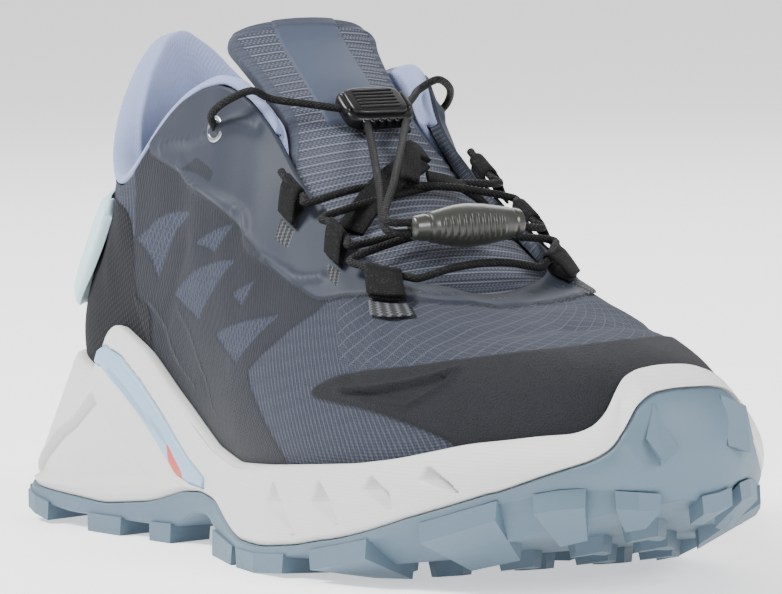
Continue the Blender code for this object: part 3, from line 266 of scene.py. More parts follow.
def share_at_height(station, height, depth=0.0):
    """Where the wall, or a surface this far outside it, crosses a height, as a share of its curve."""
    station, height, depth = (np.asarray(v, float)[..., None] for v in (station, height, depth))
    shares = np.linspace(0, 0.72, 49)
    base = wall_base(station + 0 * shares, shares + 0 * station)
    normal = wall_normal(station + 0 * shares, shares)
    levels = np.maximum.accumulate(base[..., 2] + normal[..., 2] * depth, -1)
    levels, height = np.broadcast_arrays(levels, height)
    return rows_interp(height[..., 0], levels, shares + 0 * levels)


def line_height(line, station, inner_toe=()):
    """The height of a line on the sole's side, which may have rows of its own round the inner toe."""
    along = np.asarray(station, float) % ROUND
    outer = np.interp(along, *np.array(line).T)
    if inner_toe:
        line = [row for row in line if row[0] < inner_toe[0][0]] + list(inner_toe)
    inner = np.interp(ROUND - along, *np.array(line).T)
    return np.where(along > TOE, inner, outer) * HEEL_STACK


def smooth_line(line, station, inner_toe=()):
    """The same line averaged over a short stretch, so that its corners are rounded as in a mould."""
    offsets = np.linspace(-.12, .12, 5)
    return np.mean([line_height(line, station + d, inner_toe) for d in offsets], 0)


def ground(x):
    """The lugs' lower ends: flat under heel and ball, a power of the distance towards toe and heel."""
    share = x / LENGTH
    toe = TOE_SPRING * np.clip((share - .69) / .30, 0, None) ** 1.57
    return toe + HEEL_BEVEL * np.clip((.14 - share) / .14, 0, None) ** 1.5


def underside(x):
    """The outsole's underside between the lugs, lifted under the arch."""
    share = x / LENGTH
    arch = smoothstep(.31, .37, share) * (1 - smoothstep(.39, .45, share))
    return ground(x) + LUG_HEIGHT + ARCH_LIFT * arch


def edge_lift(station):
    """How far the outsole's edge is turned up above its middle."""
    return np.interp(np.asarray(station, float) % ROUND, *np.array(EDGE_LIFT).T) * TOE_SPRING


def edge_height(station):
    return underside(column("tread_x", station)) + edge_lift(station)


def rim_point(station, thickness):
    """A point on top of the midsole's rim, this far outside the clearance round the upper."""
    height = smooth_line(RIM_LINE, station, RIM_LINE_INNER_TOE)
    return wall(station, share_at_height(station, height), GAP + thickness)


def side_point(station, height, inset=0.0):
    """A point on the sole's side: straight from tread to rim, plus bow * sin(pi * share) outwards."""
    station, height, inset = (np.asarray(v, float) for v in (station, height, inset))
    low_z = edge_height(station)
    rim = rim_point(station, RIM_WALL)
    shape = np.broadcast_shapes(station.shape, height.shape, inset.shape)
    height = np.broadcast_to(height, shape)
    share = np.clip((height - low_z) / (rim[..., 2] - low_z), 0, 1)
    out = plan_normal("tread", station)
    flat = np.stack([column("tread_x", station), column("tread_y", station), 0 * station], -1)
    plain = flat + (rim - flat) * share[..., None]
    line = line_height(OUTSOLE_LINE, station, OUTSOLE_LINE_INNER_TOE)
    cover = GAP + RIM_WALL + (OUTSOLE_WRAP + GAP) * (1 - smoothstep(0, 5 * MM, height - line))
    beside = wall(station + 0 * height, share_at_height(station, height, cover), cover)
    short = ((beside - plain) * out).sum(-1) * smoothstep(-4 * MM, 2 * MM, height - column("foot_z", station))
    bulge = np.maximum(column("bow", station) * np.sin(np.pi * share), short) - inset
    point = plain + out * bulge[..., None]
    point[..., 2] = height
    return point


print("the wall at the ball is", round(float(wall(9.0, 1.0)[2]) * 1000, 1), "mm high")

# %% [markdown]
# A surface is a grid of points. One helper turns the grid into a mesh in one go. It also stores a map in
# metres, which weaves follow, and named values at each vertex, which say how far the nearest seam is.

# %% From a grid to a mesh


def join_materials(obj, materials):
    for made in materials if isinstance(materials, (list, tuple)) else [materials]:
        obj.data.materials.append(made)


def grid_piece(name, points, around=False, ring=False, uv=None, values=None, faces=None):
    """Quads between neighbours of a grid. around closes its first direction, ring its second."""
    rows, cols = points.shape[:2]
    index = np.arange(rows * cols).reshape(rows, cols)
    wide = np.concatenate([index, index[:1]]) if around else index
    wide = np.concatenate([wide, wide[:, :1]], 1) if ring else wide
    quads = np.stack([wide[:-1, :-1], wide[1:, :-1], wide[1:, 1:], wide[:-1, 1:]], -1).reshape(-1, 4)
    mesh = bpy.data.meshes.new(name)
    mesh.from_pydata((points.reshape(-1, 3) + SHIFT).tolist(), [], quads.tolist() + list(faces or []))
    if uv is not None:
        flat = np.stack([np.broadcast_to(v, points.shape[:2]).reshape(-1) for v in uv], -1)
        layer = mesh.uv_layers.new(name="map")
        loops = np.empty(len(mesh.loops), int)
        mesh.loops.foreach_get("vertex_index", loops)
        layer.data.foreach_set("uv", flat[loops].reshape(-1))
    for title, value in (values or {}).items():
        spot = mesh.attributes.new(title, "FLOAT", "POINT")
        flat = np.broadcast_to(value, points.shape[:2]).reshape(-1)
        spot.data.foreach_set("value", flat.astype(np.float32))
    mesh.shade_smooth()
    mesh.update()
    obj = bpy.data.objects.new(name, mesh)
    bpy.context.scene.collection.objects.link(obj)
    return obj


def end_faces(points):
    """The first and the last ring of a grid, as two faces."""
    rows, count = points.shape[:2]
    return [list(range(count)), list(range(count * (rows - 1), count * rows))]


def outward(obj, merge=1e-6):
    """Welds points that meet and turns every face outwards."""
    work = bmesh.new()
    work.from_mesh(obj.data)
    bmesh.ops.remove_doubles(work, verts=work.verts, dist=merge)
    bmesh.ops.dissolve_degenerate(work, edges=work.edges, dist=1e-7)
    bmesh.ops.recalc_face_normals(work, faces=work.faces)
    work.to_mesh(obj.data)
    work.free()
    return obj


def turn_out(obj, inside):
    """Flips all faces if the mesh's volume is negative, from the sum of its signed tetrahedra."""
    mesh = obj.data
    mesh.calc_loop_triangles()
    places = np.empty(len(mesh.vertices) * 3)
    mesh.vertices.foreach_get("co", places)
    corners = np.empty(len(mesh.loop_triangles) * 3, int)
    mesh.loop_triangles.foreach_get("vertices", corners)
    p = places.reshape(-1, 3)[corners.reshape(-1, 3)] - (np.array(inside) + SHIFT)
    volume = np.einsum("ij,ij->i", p[:, 0], np.cross(p[:, 1], p[:, 2])).sum() / 6
    if volume < 0:
        mesh.flip_normals()
    return obj


def finished(obj, material, body="root", stands_for=()):
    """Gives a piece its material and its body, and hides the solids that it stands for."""
    join_materials(obj, material)
    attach(obj, body)
    if stands_for:
        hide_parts(*stands_for)
    print(obj.name, len(obj.data.polygons) if obj.type == "MESH" else "curve")
    return obj


def outline_distance(outline, station, share, points, closed=True, corners=True):
    """Signed distance in metres from an outline drawn in station and share, negative inside it.

    The distance in the drawing is divided by the length of its gradient on the surface, from the first
    fundamental form, so it is true near the outline.
    """
    scale = np.array((20.0, 90.0))
    p = np.stack([station * scale[0], share * scale[1]], -1)
    line = np.array(outline, float)
    if not corners:
        for _ in range(2):
            after = np.roll(line, -1, 0) if closed else line[1:]
            before = line if closed else line[:-1]
            cut = np.stack([before * .75 + after * .25, before * .25 + after * .75], 1).reshape(-1, 2)
            line = cut if closed else np.concatenate([line[:1], cut, line[-1:]])
    line = line * scale
    ends = np.roll(line, -1, 0) if closed else line[1:]
    best = np.full(p.shape[:2], 1e9)
    inside = np.zeros(p.shape[:2], bool)
    for a, b in zip(line, ends):
        d = b - a
        u = np.clip(((p - a) @ d) / max(d @ d, 1e-12), 0, 1)
        best = np.minimum(best, np.linalg.norm(p - a - u[..., None] * d, axis=-1))
        if closed and a[1] != b[1]:
            crosses = (p[..., 1] > a[1]) != (p[..., 1] > b[1])
            inside ^= crosses & (p[..., 0] < a[0] + (p[..., 1] - a[1]) / (b[1] - a[1]) * d[0])
    signed = np.where(inside, -best, best)
    fs, ft = np.gradient(points, axis=(0, 1))
    ds, dt = np.gradient(signed)
    e, f, g = (fs * fs).sum(-1), (fs * ft).sum(-1), (ft * ft).sum(-1)
    slope = (g * ds**2 - 2 * f * ds * dt + e * dt**2) / np.maximum(e * g - f * f, 1e-18)
    unit = np.sqrt(np.maximum(slope, 1e-12))
    return signed / np.clip(unit, 300, 5000)


def both(outline):
    """The same outline on the inner side of the foot."""
    return [(ROUND - s, t) for s, t in outline]


print("helpers for grids are ready")

# %% [markdown]
# Shader maths reads better as formulas. A small class wraps a socket, so that mask * 2 + 1 makes the nodes,
# and one method makes every other kind of node.

# %% A small language for materials


class Value:
    """A node's output that can be added, multiplied and compared."""

    def __init__(self, look, link):
        self.look, self.link = look, link

    def do(self, operation, *others, clamp=False):
        given = dict(enumerate([self, *others]))
        return self.look.node("ShaderNodeMath", {"operation": operation, "use_clamp": clamp}, given)

    def __add__(self, other): return self.do("ADD", other)
    def __radd__(self, other): return self.do("ADD", other)
    def __sub__(self, other): return self.do("SUBTRACT", other)
    def __rsub__(self, other): return (self * -1) + other
    def __mul__(self, other): return self.do("MULTIPLY", other)
    def __rmul__(self, other): return self.do("MULTIPLY", other)
    def __truediv__(self, other): return self.do("DIVIDE", other)
    def __gt__(self, other): return self.do("GREATER_THAN", other)
    def __lt__(self, other): return self.do("LESS_THAN", other)
    def power(self, other): return self.do("POWER", other)
    def size(self): return self.do("ABSOLUTE")
    def wave(self): return self.do("SINE")
    def part(self): return self.do("FRACT")
    def most(self, other): return self.do("MAXIMUM", other)
    def clamp(self): return self.do("ADD", 0.0, clamp=True)

    def step(self, low, high):
        """0 at low, 1 at high, smooth between them."""
        return self.look.node("ShaderNodeMapRange", {"interpolation_type": "SMOOTHSTEP"},
                              {"Value": self, "From Min": low, "From Max": high})


class Look:
    """A material on one Principled shader."""

    def __init__(self, name, **constants):
        self.material = bpy.data.materials.new(name)
        self.material.use_nodes = True
        self.tree = self.material.node_tree
        self.shader = self.tree.nodes["Principled BSDF"]
        for socket, value in constants.items():
            self.shader.inputs[socket.replace("_", " ")].default_value = value

    def node(self, kind, settings=None, given=None, output=0):
        """A node of any kind: settings first, then its sockets by name or number. Gives its output."""
        made = self.tree.nodes.new(kind)
        for key, value in (settings or {}).items():
            if key == "ramp":
                while len(made.color_ramp.elements) < len(value):
                    made.color_ramp.elements.new(.5)
                for element, (place, colour) in zip(made.color_ramp.elements, value):
                    element.position, element.color = place, (*colour, 1)
            else:
                setattr(made, key, value)
        for key, value in (given or {}).items():
            socket = made.inputs[key]
            if isinstance(value, Value):
                self.tree.links.new(value.link, socket)
            elif hasattr(socket.default_value, "__len__") and len(socket.default_value) == 4:
                socket.default_value = (*value, 1) if len(value) == 3 else value
            else:
                socket.default_value = value
        return Value(self, made.outputs[output])

    def feed(self, socket, value):
        self.tree.links.new(value.link, self.shader.inputs[socket])

    def value(self, name):
        """A named value of the mesh, in metres from a seam."""
        return self.node("ShaderNodeAttribute", {"attribute_name": name}, output="Fac")

    def place(self):
        return self.node("ShaderNodeTexCoord", output="Object")

    def map(self):
        """The two coordinates of the piece's own map, in metres."""
        uv = self.node("ShaderNodeUVMap", {"uv_map": "map"})
        made = self.tree.nodes.new("ShaderNodeSeparateXYZ")
        self.tree.links.new(uv.link, made.inputs[0])
        return Value(self, made.outputs[0]), Value(self, made.outputs[1])

    def noise(self, scale, detail=3.0, roughness=.5, at=None, stretch=None):
        where = at or self.place()
        if stretch:
            where = self.node("ShaderNodeMapping", {}, {"Vector": where, "Scale": stretch})
        return self.node("ShaderNodeTexNoise", {}, {"Vector": where, "Scale": scale, "Detail": detail,
                                                    "Roughness": roughness}, output="Fac")

    def blend(self, share, first, second):
        """first where share is 0, second where it is 1. Colours are (red, green, blue) or links."""
        given = {0: share, 6: first, 7: second}
        return self.node("ShaderNodeMix", {"data_type": "RGBA"}, given, output=2)

    def paint(self, colour, roughness=None, height=None, depth=.3 * MM, strength=1.0, tone=1.0,
              saturation=1.0):
        """Feeds the shader. The colour is scaled by tone, because the studio is brighter than daylight."""
        if saturation != 1.0:
            colour = self.node("ShaderNodeHueSaturation", {}, {"Saturation": saturation, "Color": colour})
        if tone != 1.0:
            colour = self.node("ShaderNodeMix", {"data_type": "RGBA", "blend_type": "MULTIPLY"},
                               {0: 1.0, 6: colour, 7: (tone, tone, tone)}, output=2)
        self.feed("Base Color", colour)
        if roughness is not None:
            self.feed("Roughness", roughness)
        if height is not None:
            given = {"Strength": strength, "Distance": depth, "Height": height}
            self.feed("Normal", self.node("ShaderNodeBump", {}, given))
        return self.material


print("the shader language is ready")

# %% [markdown]
# The upper's wall carries nearly all that one sees from the side: an open knit, a printed layer with cut
# windows, a smooth film round the throat, a grained toe cap and a dark heel counter. On the real shoe these
# are welded sheets under a millimetre thick. Here each edge is a signed distance stored in the mesh, which
# both lifts the surface and paints it, so an edge is crisp although the grid is only a millimetre fine.

# %% Panels of the upper, as outlines in station and share
FILM_EDGE = [
    (3.75, 1.2), (3.80, .975), (4.02, .90), (4.45, .81), (4.85, .765), (5.25, .715), (6.4, .68), (7.25, .695),
    (8.05, .685), (8.7, .667), (9.1, .665), (9.65, .77), (10.3, .85), (11.3, .85), (12.0, .875), (13.0, .905),
    (14.0, .875), (14.7, .85), (15.7, .85), (16.35, .77), (16.9, .665), (17.3, .667), (17.95, .685),
    (18.75, .695), (19.6, .68), (20.75, .715), (21.15, .765), (21.55, .81), (21.98, .90), (22.2, .975),
    (22.25, 1.2),
]
TOE_CAP = [
    (8.85, .33), (9.2, .40), (9.6, .45), (10.2, .486), (11.0, .50), (11.8, .495), (12.8, .50), (13.55, .525),
    (14.85, .535), (15.5, .51), (16.2, .46), (16.9, .36), (16.9, .33), (16.3, .30), (15.8, .22), (15.3, .12),
    (15.0, -.2), (10.85, -.2), (10.65, .15), (10.35, .236), (9.85, .314), (9.4, .329),
]
KITE = [(9.35, .372), (10.95, .452), (10.75, .40), (10.2, .329), (9.8, .345)]
PRINTED = [
    (3.35, 1.2), (3.45, .75), (3.55, .443), (3.95, .236), (3.9, -.2), (8.55, -.2), (8.33, .107), (7.95, .24),
    (7.80, .293), (7.75, .335), (8.35, .471), (8.95, .61), (9.3, .72), (9.3, 1.2),
]
WINDOWS = [
    [(3.50, .70), (5.28, .645), (4.75, .60), (4.22, .47), (3.95, .57)],
    [(4.70, .412), (5.95, .51), (7.08, .603), (6.55, .49), (5.92, .362), (5.3, .378)],
    [(6.65, .362), (7.5, .462), (8.38, .56), (7.9, .44), (7.42, .332)],
    [(5.62, .562), (6.75, .678), (6.52, .61), (6.32, .565)],
    [(7.12, .512), (7.70, .603), (7.60, .55), (7.46, .503)],
]
COUNTER = [
    (-3.0, -.2), (3.95, -.2), (3.95, .236), (4.05, .40), (3.55, .443), (3.5, .69), (3.15, .92), (2.4, .93),
    (1.9, .80), (1.2, .72), (0, .70), (-1.2, .72), (-1.9, .80), (-2.4, .93), (-3.15, .92), (-3.5, .69),
    (-3.55, .443), (-4.05, .40), (-3.95, .236), (-3.95, -.2),
]
RIDGE = [
    (4.75, .80), (5.25, .715), (6.4, .70), (7.15, .735), (7.3, .665), (8.3, .70), (8.6, .69), (9.05, .75),
]
WING = [(4.2, .915), (4.45, .90), (5.0, .855), (5.5, .86), (5.95, .885), (6.35, .93), (6.75, .955)]
WELDS = [
    [(3.9, .414), (4.35, .329), (4.75, .20), (5.4, .157)],
    [(5.0, .36), (5.6, .30), (6.15, .164), (6.2, .121), (6.7, .121)],
]
VENT = [(4.85, .775), (5.9, .735), (6.0, .765), (5.3, .80)]
THROAT_STITCH = [
    (10.9, .90), (11.6, .935), (12.4, .962), (13.0, .97), (13.6, .962), (14.4, .935), (15.1, .90),
]

UPPER_STEPS, WALL_STEPS, INNER_ROWS_COUNT = 832, 96, 24
FAR = .05  # metres, the distance stored where an outline is too far away to matter
stations = np.arange(UPPER_STEPS) * ROUND / UPPER_STEPS
shares = np.linspace(0, 1, WALL_STEPS)
S, T = np.meshgrid(stations, shares, indexing="ij")
base = wall_base(S, T)
normals = wall_normal(S, T)
wrapped = (S + TOE) % ROUND - TOE


def measured(outline, **how):
    """The distance in the rows of the grid near the outline, and a large one elsewhere."""
    places = [s for s, t in outline]
    near = (stations > min(places) - 1.2) & (stations < max(places) + 1.2)
    found = np.full(S.shape, FAR)
    found[near] = outline_distance(outline, S[near], T[near], base[near], **how)
    return found


def region(outline, inner=True, **how):
    """Distance from an outline on the outer side and, if wished, from its twin on the inner side."""
    found = measured(outline, **how)
    return np.minimum(found, measured(both(outline), **how)) if inner else found


def line_distance(line, inner=True):
    """Distance from an open line, in metres."""
    return region(line, inner, closed=False, corners=False)


film = region(FILM_EDGE, inner=False, corners=False)
cap = region(TOE_CAP, inner=False, corners=False)
kite = region(KITE)
printed = region(PRINTED)
windows = np.min([region(w) for w in WINDOWS], 0)
counter = outline_distance(COUNTER, wrapped, T, base, corners=False)
ridge = line_distance(RIDGE)
wing = line_distance(WING)
welds = np.min([line_distance(w) for w in WELDS], 0)
vent = region(VENT)
stitch = line_distance(THROAT_STITCH, inner=False)
layer = np.maximum(printed, -windows)
layer = np.maximum(layer, -film)
print("panels measured on", S.size, "points")

# %% [markdown]
# The relief is a sum of soft steps and ridges in millimetres: the film and the cap stand proud, the print
# hardly at all, and a few troughs show where the wall bends behind the toes.

# %% Relief of the upper


def bank(distance, height, soft=.55 * MM):
    """A step of this height just inside an outline."""
    return height * (1 - smoothstep(-soft, soft, distance))


def bump_line(distance, height, width):
    """A rounded ridge, height * exp(-(d / width)^2)."""
    return height * np.exp(-((distance / width) ** 2))


CREASES = (
    ((10.1, .56), (10.5, .75), -.9, 3.2), ((9.55, .42), (9.9, .66), -.6, 3.0),
    ((11.4, .62), (13.0, .68), -.8, 4.0), ((13.0, .68), (14.8, .61), -.8, 4.0),
    ((15.6, .60), (16.0, .78), -.9, 3.2), ((11.6, .80), (14.4, .80), .7, 5.0),
    ((4.4, .30), (5.2, .55), -.5, 3.5), ((6.0, .20), (7.0, .30), -.5, 4.0),
)
FILM_RISE, CAP_RISE, PRINT_RISE, COUNTER_RISE = .95 * MM, .85 * MM, .22 * MM, .45 * MM
KITE_DIP, KITE_RIM, RIDGE_RISE, WING_RISE, SEAM_RISE = .75 * MM, .85 * MM, 1.25 * MM, 1.0 * MM, .35 * MM
WEAVE_ROW = 30
relief = bank(film, FILM_RISE) + bank(cap, CAP_RISE) + bank(layer, PRINT_RISE, .3 * MM)
relief += bank(counter, COUNTER_RISE)
relief += bank(kite + .8 * MM, -KITE_DIP) + bump_line(kite, KITE_RIM, .8 * MM)
relief += bump_line(ridge, RIDGE_RISE, 1.3 * MM) + bump_line(wing, WING_RISE, 1.5 * MM)
relief += bump_line(welds, SEAM_RISE, .7 * MM) - bump_line(stitch, SEAM_RISE, .7 * MM)
for first, last, height, width in CREASES:
    found = measured([first, last], closed=False)
    relief += bump_line(found, height * MM, width * MM)
relief += .25 * MM * np.sin(S * 5.1 + 3 * T) * np.sin(T * 9 + S) * smoothstep(.3, .6, T)
loop_along = np.linalg.norm(np.roll(base[:, WEAVE_ROW], -1, 0) - base[:, WEAVE_ROW], axis=-1)
around_m = np.concatenate([[0], np.cumsum(loop_along)[:-1]])
rises = np.linalg.norm(np.diff(base, axis=1), axis=-1)
up_m = np.concatenate([np.zeros((UPPER_STEPS, 1)), np.cumsum(rises, 1)], 1)
outside = base + normals * relief[..., None]
inner_shares = np.linspace(1, 0, INNER_ROWS_COUNT)
SI, TI = np.meshgrid(stations, inner_shares, indexing="ij")
inside = wall_base(SI, TI) - wall_normal(SI, TI) * UPPER_WALL
shell = np.concatenate([outside, inside], 1)
blank = np.full((UPPER_STEPS, INNER_ROWS_COUNT), FAR)
uv_u = around_m[:, None] + np.zeros((1, WALL_STEPS + INNER_ROWS_COUNT))
uv_v = np.concatenate([up_m, up_m[:, -1:] * inner_shares], 1)
values = {name: np.concatenate([value, blank], 1) for name, value in (
    ("film", film), ("cap", cap), ("kite", kite), ("print", layer), ("counter", counter), ("window", windows),
    ("weld", welds), ("vent", vent), ("ridge", ridge), ("wing", wing), ("stitch", stitch))}
values["station"] = np.concatenate([S, SI], 1)
values["share"] = np.concatenate([T, TI], 1)
upper = grid_piece("upper_shell", shell, around=True, ring=True, uv=(uv_u, uv_v), values=values)
turn_out(upper, (.145, 0, .06))

# %% [markdown]
# The knit is drawn in the piece's own map, so its ribs follow the wall. Thin light threads cross a darker
# ground. On the vamp they make long curved lattices, in the windows small diamonds, and below the film fine
# ribs that run down to the sole.

# %% The upper's material
look = Look("upper_cloth", Sheen_Weight=.02, Sheen_Roughness=.5, Specular_IOR_Level=.2)
u, v = look.map()
where = look.place()
soft = look.noise(900, 2, at=where)
cloudy = look.noise(45, 4, at=where)


def threads(across, pitch, width, blur=.15):
    """1 on thin parallel lines a pitch apart, 0 between them."""
    wave = ((across / pitch).part() - .5).size() * 2
    return wave.step(1 - width - blur, 1 - width + blur)


fine_rows = threads(v + (u * 900).wave() * .00005, .00085, .45, .3)
fine_cols = threads(u, .0009, .35, .3)
lattice = threads(u * .75 + v * 1.0, .0042, .14, .1).most(threads(u * .75 - v * 1.0, .0042, .14, .1))
diamond = threads(u * 1.0 + v * .8, .0026, .26, .15).most(threads(u * 1.0 - v * .8, .0026, .26, .15))
ribs = threads(u + v * .22, .0019, .30, .2)
t = look.value("share")
s = look.value("station")
vamp = t.step(.44, .50) * ((s > 9.4) * (s < 16.6))
in_window = 1 - look.value("window").step(-.0002, .0002)
in_vent = 1 - look.value("vent").step(-.0002, .0002)
GROUND, THREAD = (.135, .155, .225), (.44, .47, .56)
cloth = look.blend(fine_cols * .5 * (fine_rows * .6 + .4), GROUND, (.30, .33, .42))
cloth = look.blend(ribs * (1 - vamp) * .75, cloth, (.36, .385, .47))
cloth = look.blend((fine_rows * fine_cols * .45 + lattice * .55).clamp() * vamp, cloth, THREAD)
windowed = look.blend(diamond * .65, (.15, .175, .26), (.34, .37, .49))
cloth = look.blend(in_window, cloth, windowed)
hatch = threads(u * .9 + v * .45, .0011, .35, .3)
print_colour = look.blend(hatch * .5, (.058, .066, .09), (.115, .127, .165))
print_colour = look.blend(cloudy * .35 * (1 - t.step(.05, .45)), print_colour, (.03, .034, .045))
layered = 1 - look.value("print").step(-.00015, .00015)
colour = look.blend(layered, cloth, print_colour)
edge = 1 - look.value("print").size().step(.0001, .0006)
colour = look.blend(edge * .5, colour, (.06, .068, .095))
mesh_dots = threads(u + v * .5, .0016, .4, .3) * threads(v - u * .5, .0016, .4, .3)
counter_colour = look.blend(mesh_dots * .8, (.020, .022, .032), (.075, .082, .108))
on_counter = 1 - look.value("counter").step(-.0003, .0003)
colour = look.blend(on_counter, colour, counter_colour)
welded = 1 - look.value("weld").step(.0002, .0008)
colour = look.blend(welded * .55, colour, (.30, .32, .38))
FILM, CAP = (.115, .137, .195), (.022, .025, .036)
film_soft = look.noise(30, 3, at=where)
film_colour = look.blend(film_soft * .4, FILM, (.16, .185, .25))
on_film = 1 - look.value("film").step(-.0002, .0002)
colour = look.blend(on_film, colour, film_colour)
film_edge = 1 - look.value("film").size().step(.0002, .0010)
colour = look.blend(film_edge * .6, colour, (.05, .058, .085))
# painted highlight: a lighter colour along the raised ridge, where it catches the light
ridge_highlight = 1 - look.value("ridge").step(.0002, .0016)
colour = look.blend(ridge_highlight * .35, colour, (.26, .29, .37))
colour = look.blend(in_vent * (.35 + threads(u * .6 + v, .0012, .5, .2) * .4), colour, (.02, .022, .03))
cap_colour = look.blend(look.noise(300, 3, at=where) * .5, CAP, (.05, .055, .075))
on_cap = 1 - look.value("cap").step(-.0002, .0002)
colour = look.blend(on_cap, colour, cap_colour)
cap_edge = 1 - look.value("cap").size().step(.0001, .0009)
colour = look.blend(cap_edge * .55, colour, (.015, .017, .024))
kite_line = 1 - look.value("kite").size().step(.0002, .0009)
colour = look.blend(kite_line * .6, colour, (.012, .013, .019))
dashes = threads(u + v * .4, .0026, .62, .12)
stitched = (1 - look.value("stitch").step(.0003, .0007)) * dashes
colour = look.blend(stitched, colour, (.62, .66, .75))
grain = look.node("ShaderNodeTexVoronoi", {}, {"Vector": where, "Scale": 2600.0}, output="Distance")
cloth_height = (fine_rows * .35 + fine_cols * .25 + lattice * vamp * .8 + ribs * (1 - vamp) * .7
                + diamond * in_window * .8)
smooth_parts = on_film.most(on_cap)
height = (cloth_height * (1 - layered * .75) * (1 - on_counter) + hatch * layered * .3
          + mesh_dots * on_counter * .9)
height = height * (1 - smooth_parts) + grain * on_cap * .55 + film_soft * on_film * .25 + soft * .12
height = height + stitched * 1.2
rough = .80 - on_film * .26 - on_cap * .22 - layered * .10 + cloudy * .10 + grain * on_cap * .22
UPPER_CLOTH = look.paint(colour, rough, height, .35 * MM, .9, tone=.20, saturation=1.15)
finished(upper, UPPER_CLOTH, stands_for=("upper", "eyestay", "toe_cap"))

# %% [markdown]
# The collar's lining is a foam pad with brushed cloth drawn over it. Its bead rolls over the top edge. The
# profile is a closed smooth curve through a few points, carried round the heel.

# %% Collar lining
LINING_END, COLLAR_PADDING, COLLAR_DEPTH, BEAD_HEIGHT = 7.1, 5 * MM, 30 * MM, 3.2 * MM


def padding(station):
    """The pad's thickness: thinner towards the front of the throat."""
    along = np.abs((np.asarray(station, float) + TOE) % ROUND - TOE)
    return COLLAR_PADDING * (1 - .65 * smoothstep(4.8, LINING_END, along))


def smooth_ring(points, per_run):
    """A closed Catmull-Rom curve through each ring of points, computed for all rings at once."""
    before, after, later = np.roll(points, 1, 1), np.roll(points, -1, 1), np.roll(points, -2, 1)
    steps = []
    for k in np.arange(per_run) / per_run:
        steps.append(.5 * (2 * points + (after - before) * k
                           + (2 * before - 5 * points + 4 * after - later) * k**2
                           + (3 * points - before - 3 * after + later) * k**3))
    return np.stack(steps, 2).reshape(len(points), -1, points.shape[-1])


def lining_ring(at, shrink):
    """The lining's profile at each station, from part.py's own ring, drawn in at its two ends."""
    clear, pad = UPPER_WALL + 2 * GAP, padding(at) * shrink
    ring = [(-1, -clear), (-1, -clear - .25 * pad), (-.62, -clear - .8 * pad), (-.2, -clear - pad),
            (.04, -clear - pad)]
    points = [near_top(at, e * COLLAR_DEPTH, d) for e, d in ring]
    for up, out in [(.8, -.72), (1.0, -.36), (.8, -.04), (.12, .0), (.12, -.5)]:
        points.append(near_top(at, up * BEAD_HEIGHT * shrink, out * (clear + pad)))
    points.append(near_top(at, GAP + 0 * at, -clear + 0 * at))
    points += [near_top(at, down * COLLAR_DEPTH + 0 * at, -clear + 0 * at) for down in (-.25, -.5, -.75)]
    return np.stack(points, 1)


lining_at = np.linspace(-LINING_END, LINING_END, 420)
taper = np.clip((LINING_END - np.abs(lining_at)) / .18, 0, 1)
lining_points = smooth_ring(lining_ring(lining_at, .55 + .45 * np.sqrt(taper)), 5)
wrinkle = .22 * MM * np.sin(lining_at * 9)[:, None] * np.sin(np.linspace(0, 12, lining_points.shape[1]))[None]
lining_points[..., 2] += wrinkle
along_m = np.concatenate([[0], np.cumsum(np.linalg.norm(np.diff(lining_points[:, 20], axis=0), axis=-1))])
ring_m = np.linspace(0, .075, lining_points.shape[1])
lining = grid_piece("collar_pad", lining_points, ring=True, uv=(along_m[:, None], ring_m[None, :]),
                    faces=end_faces(lining_points))
outward(lining)
look = Look("lining_cloth", Sheen_Weight=.15, Sheen_Roughness=.4)
u, v = look.map()
where = look.place()
weave = threads(u + v * .6, .0011, .4, .3) * .6 + threads(v, .0009, .4, .3) * .4
nap = look.noise(1400, 3, at=where)
wear = look.noise(35, 3, at=where)
colour = look.blend(weave * .45, (.215, .262, .45), (.33, .38, .58))
colour = look.blend(wear * .35, colour, (.26, .30, .47))
LINING = look.paint(colour, .82 + nap * .1, weave * .5 + nap * .5, .25 * MM, .5, tone=.95, saturation=1.0)
finished(lining, LINING, stands_for=("collar_lining",))

# %% [markdown]
# The tongue is knitted cloth over foam. It comes up from under the vamp, bridges the throat and stands above
# the collar with a thin rolled edge. A smooth band runs up its middle, and its knit has raised rows.

# %% Tongue
TONGUE_THICKNESS, TONGUE_EASE = 5 * MM, 1.2 * MM
TONGUE_THROAT = (
    (11.6, .05, -.012), (11.0, .07, .020), (10.3, .08, .042), (9.5, .08, .050), (8.8, .08, .050),
    (8.2, .06, .050), (7.65, .025, .048),
)
TONGUE_FRONT = (.08, 11.6)
TONGUE_TOP = (
    (.414, .870, .172, .036), (.385, .922, .176, .038), (.360, .962, .182, .038), (.338, 1.000, .192, .040),
    (.324, 1.030, .202, .042), (.316, 1.046, .180, .036),
)


def throat_normal(station):
    """The direction square to the throat, upwards and forwards."""
    dx = column("top_x", station + .5) - column("top_x", station - .5)
    dz = column("top_z", station + .5) - column("top_z", station - .5)
    normal = np.array([-dz, 0, dx])
    return normal / np.linalg.norm(normal)


def tongue_row(station, reach, crown):
    """Eleven points across: two under each edge of the throat and seven on the crowned gap."""
    depth = -(UPPER_WALL + TONGUE_EASE)
    sides = (station, ROUND - station)
    hidden = [near_top(side, -reach * BALL_WIDTH * k, depth) for side in sides for k in (1, .5)]
    ends = [near_top(side, 0, depth) for side in sides]
    share = np.linspace(0, 1, 7)[:, None]
    gap = ends[0] * (1 - share) + ends[1] * share
    gap = gap + throat_normal(station) * crown * BALL_WIDTH * 4 * share * (1 - share)
    return np.array([*hidden[:2], *gap, *hidden[:1:-1]])


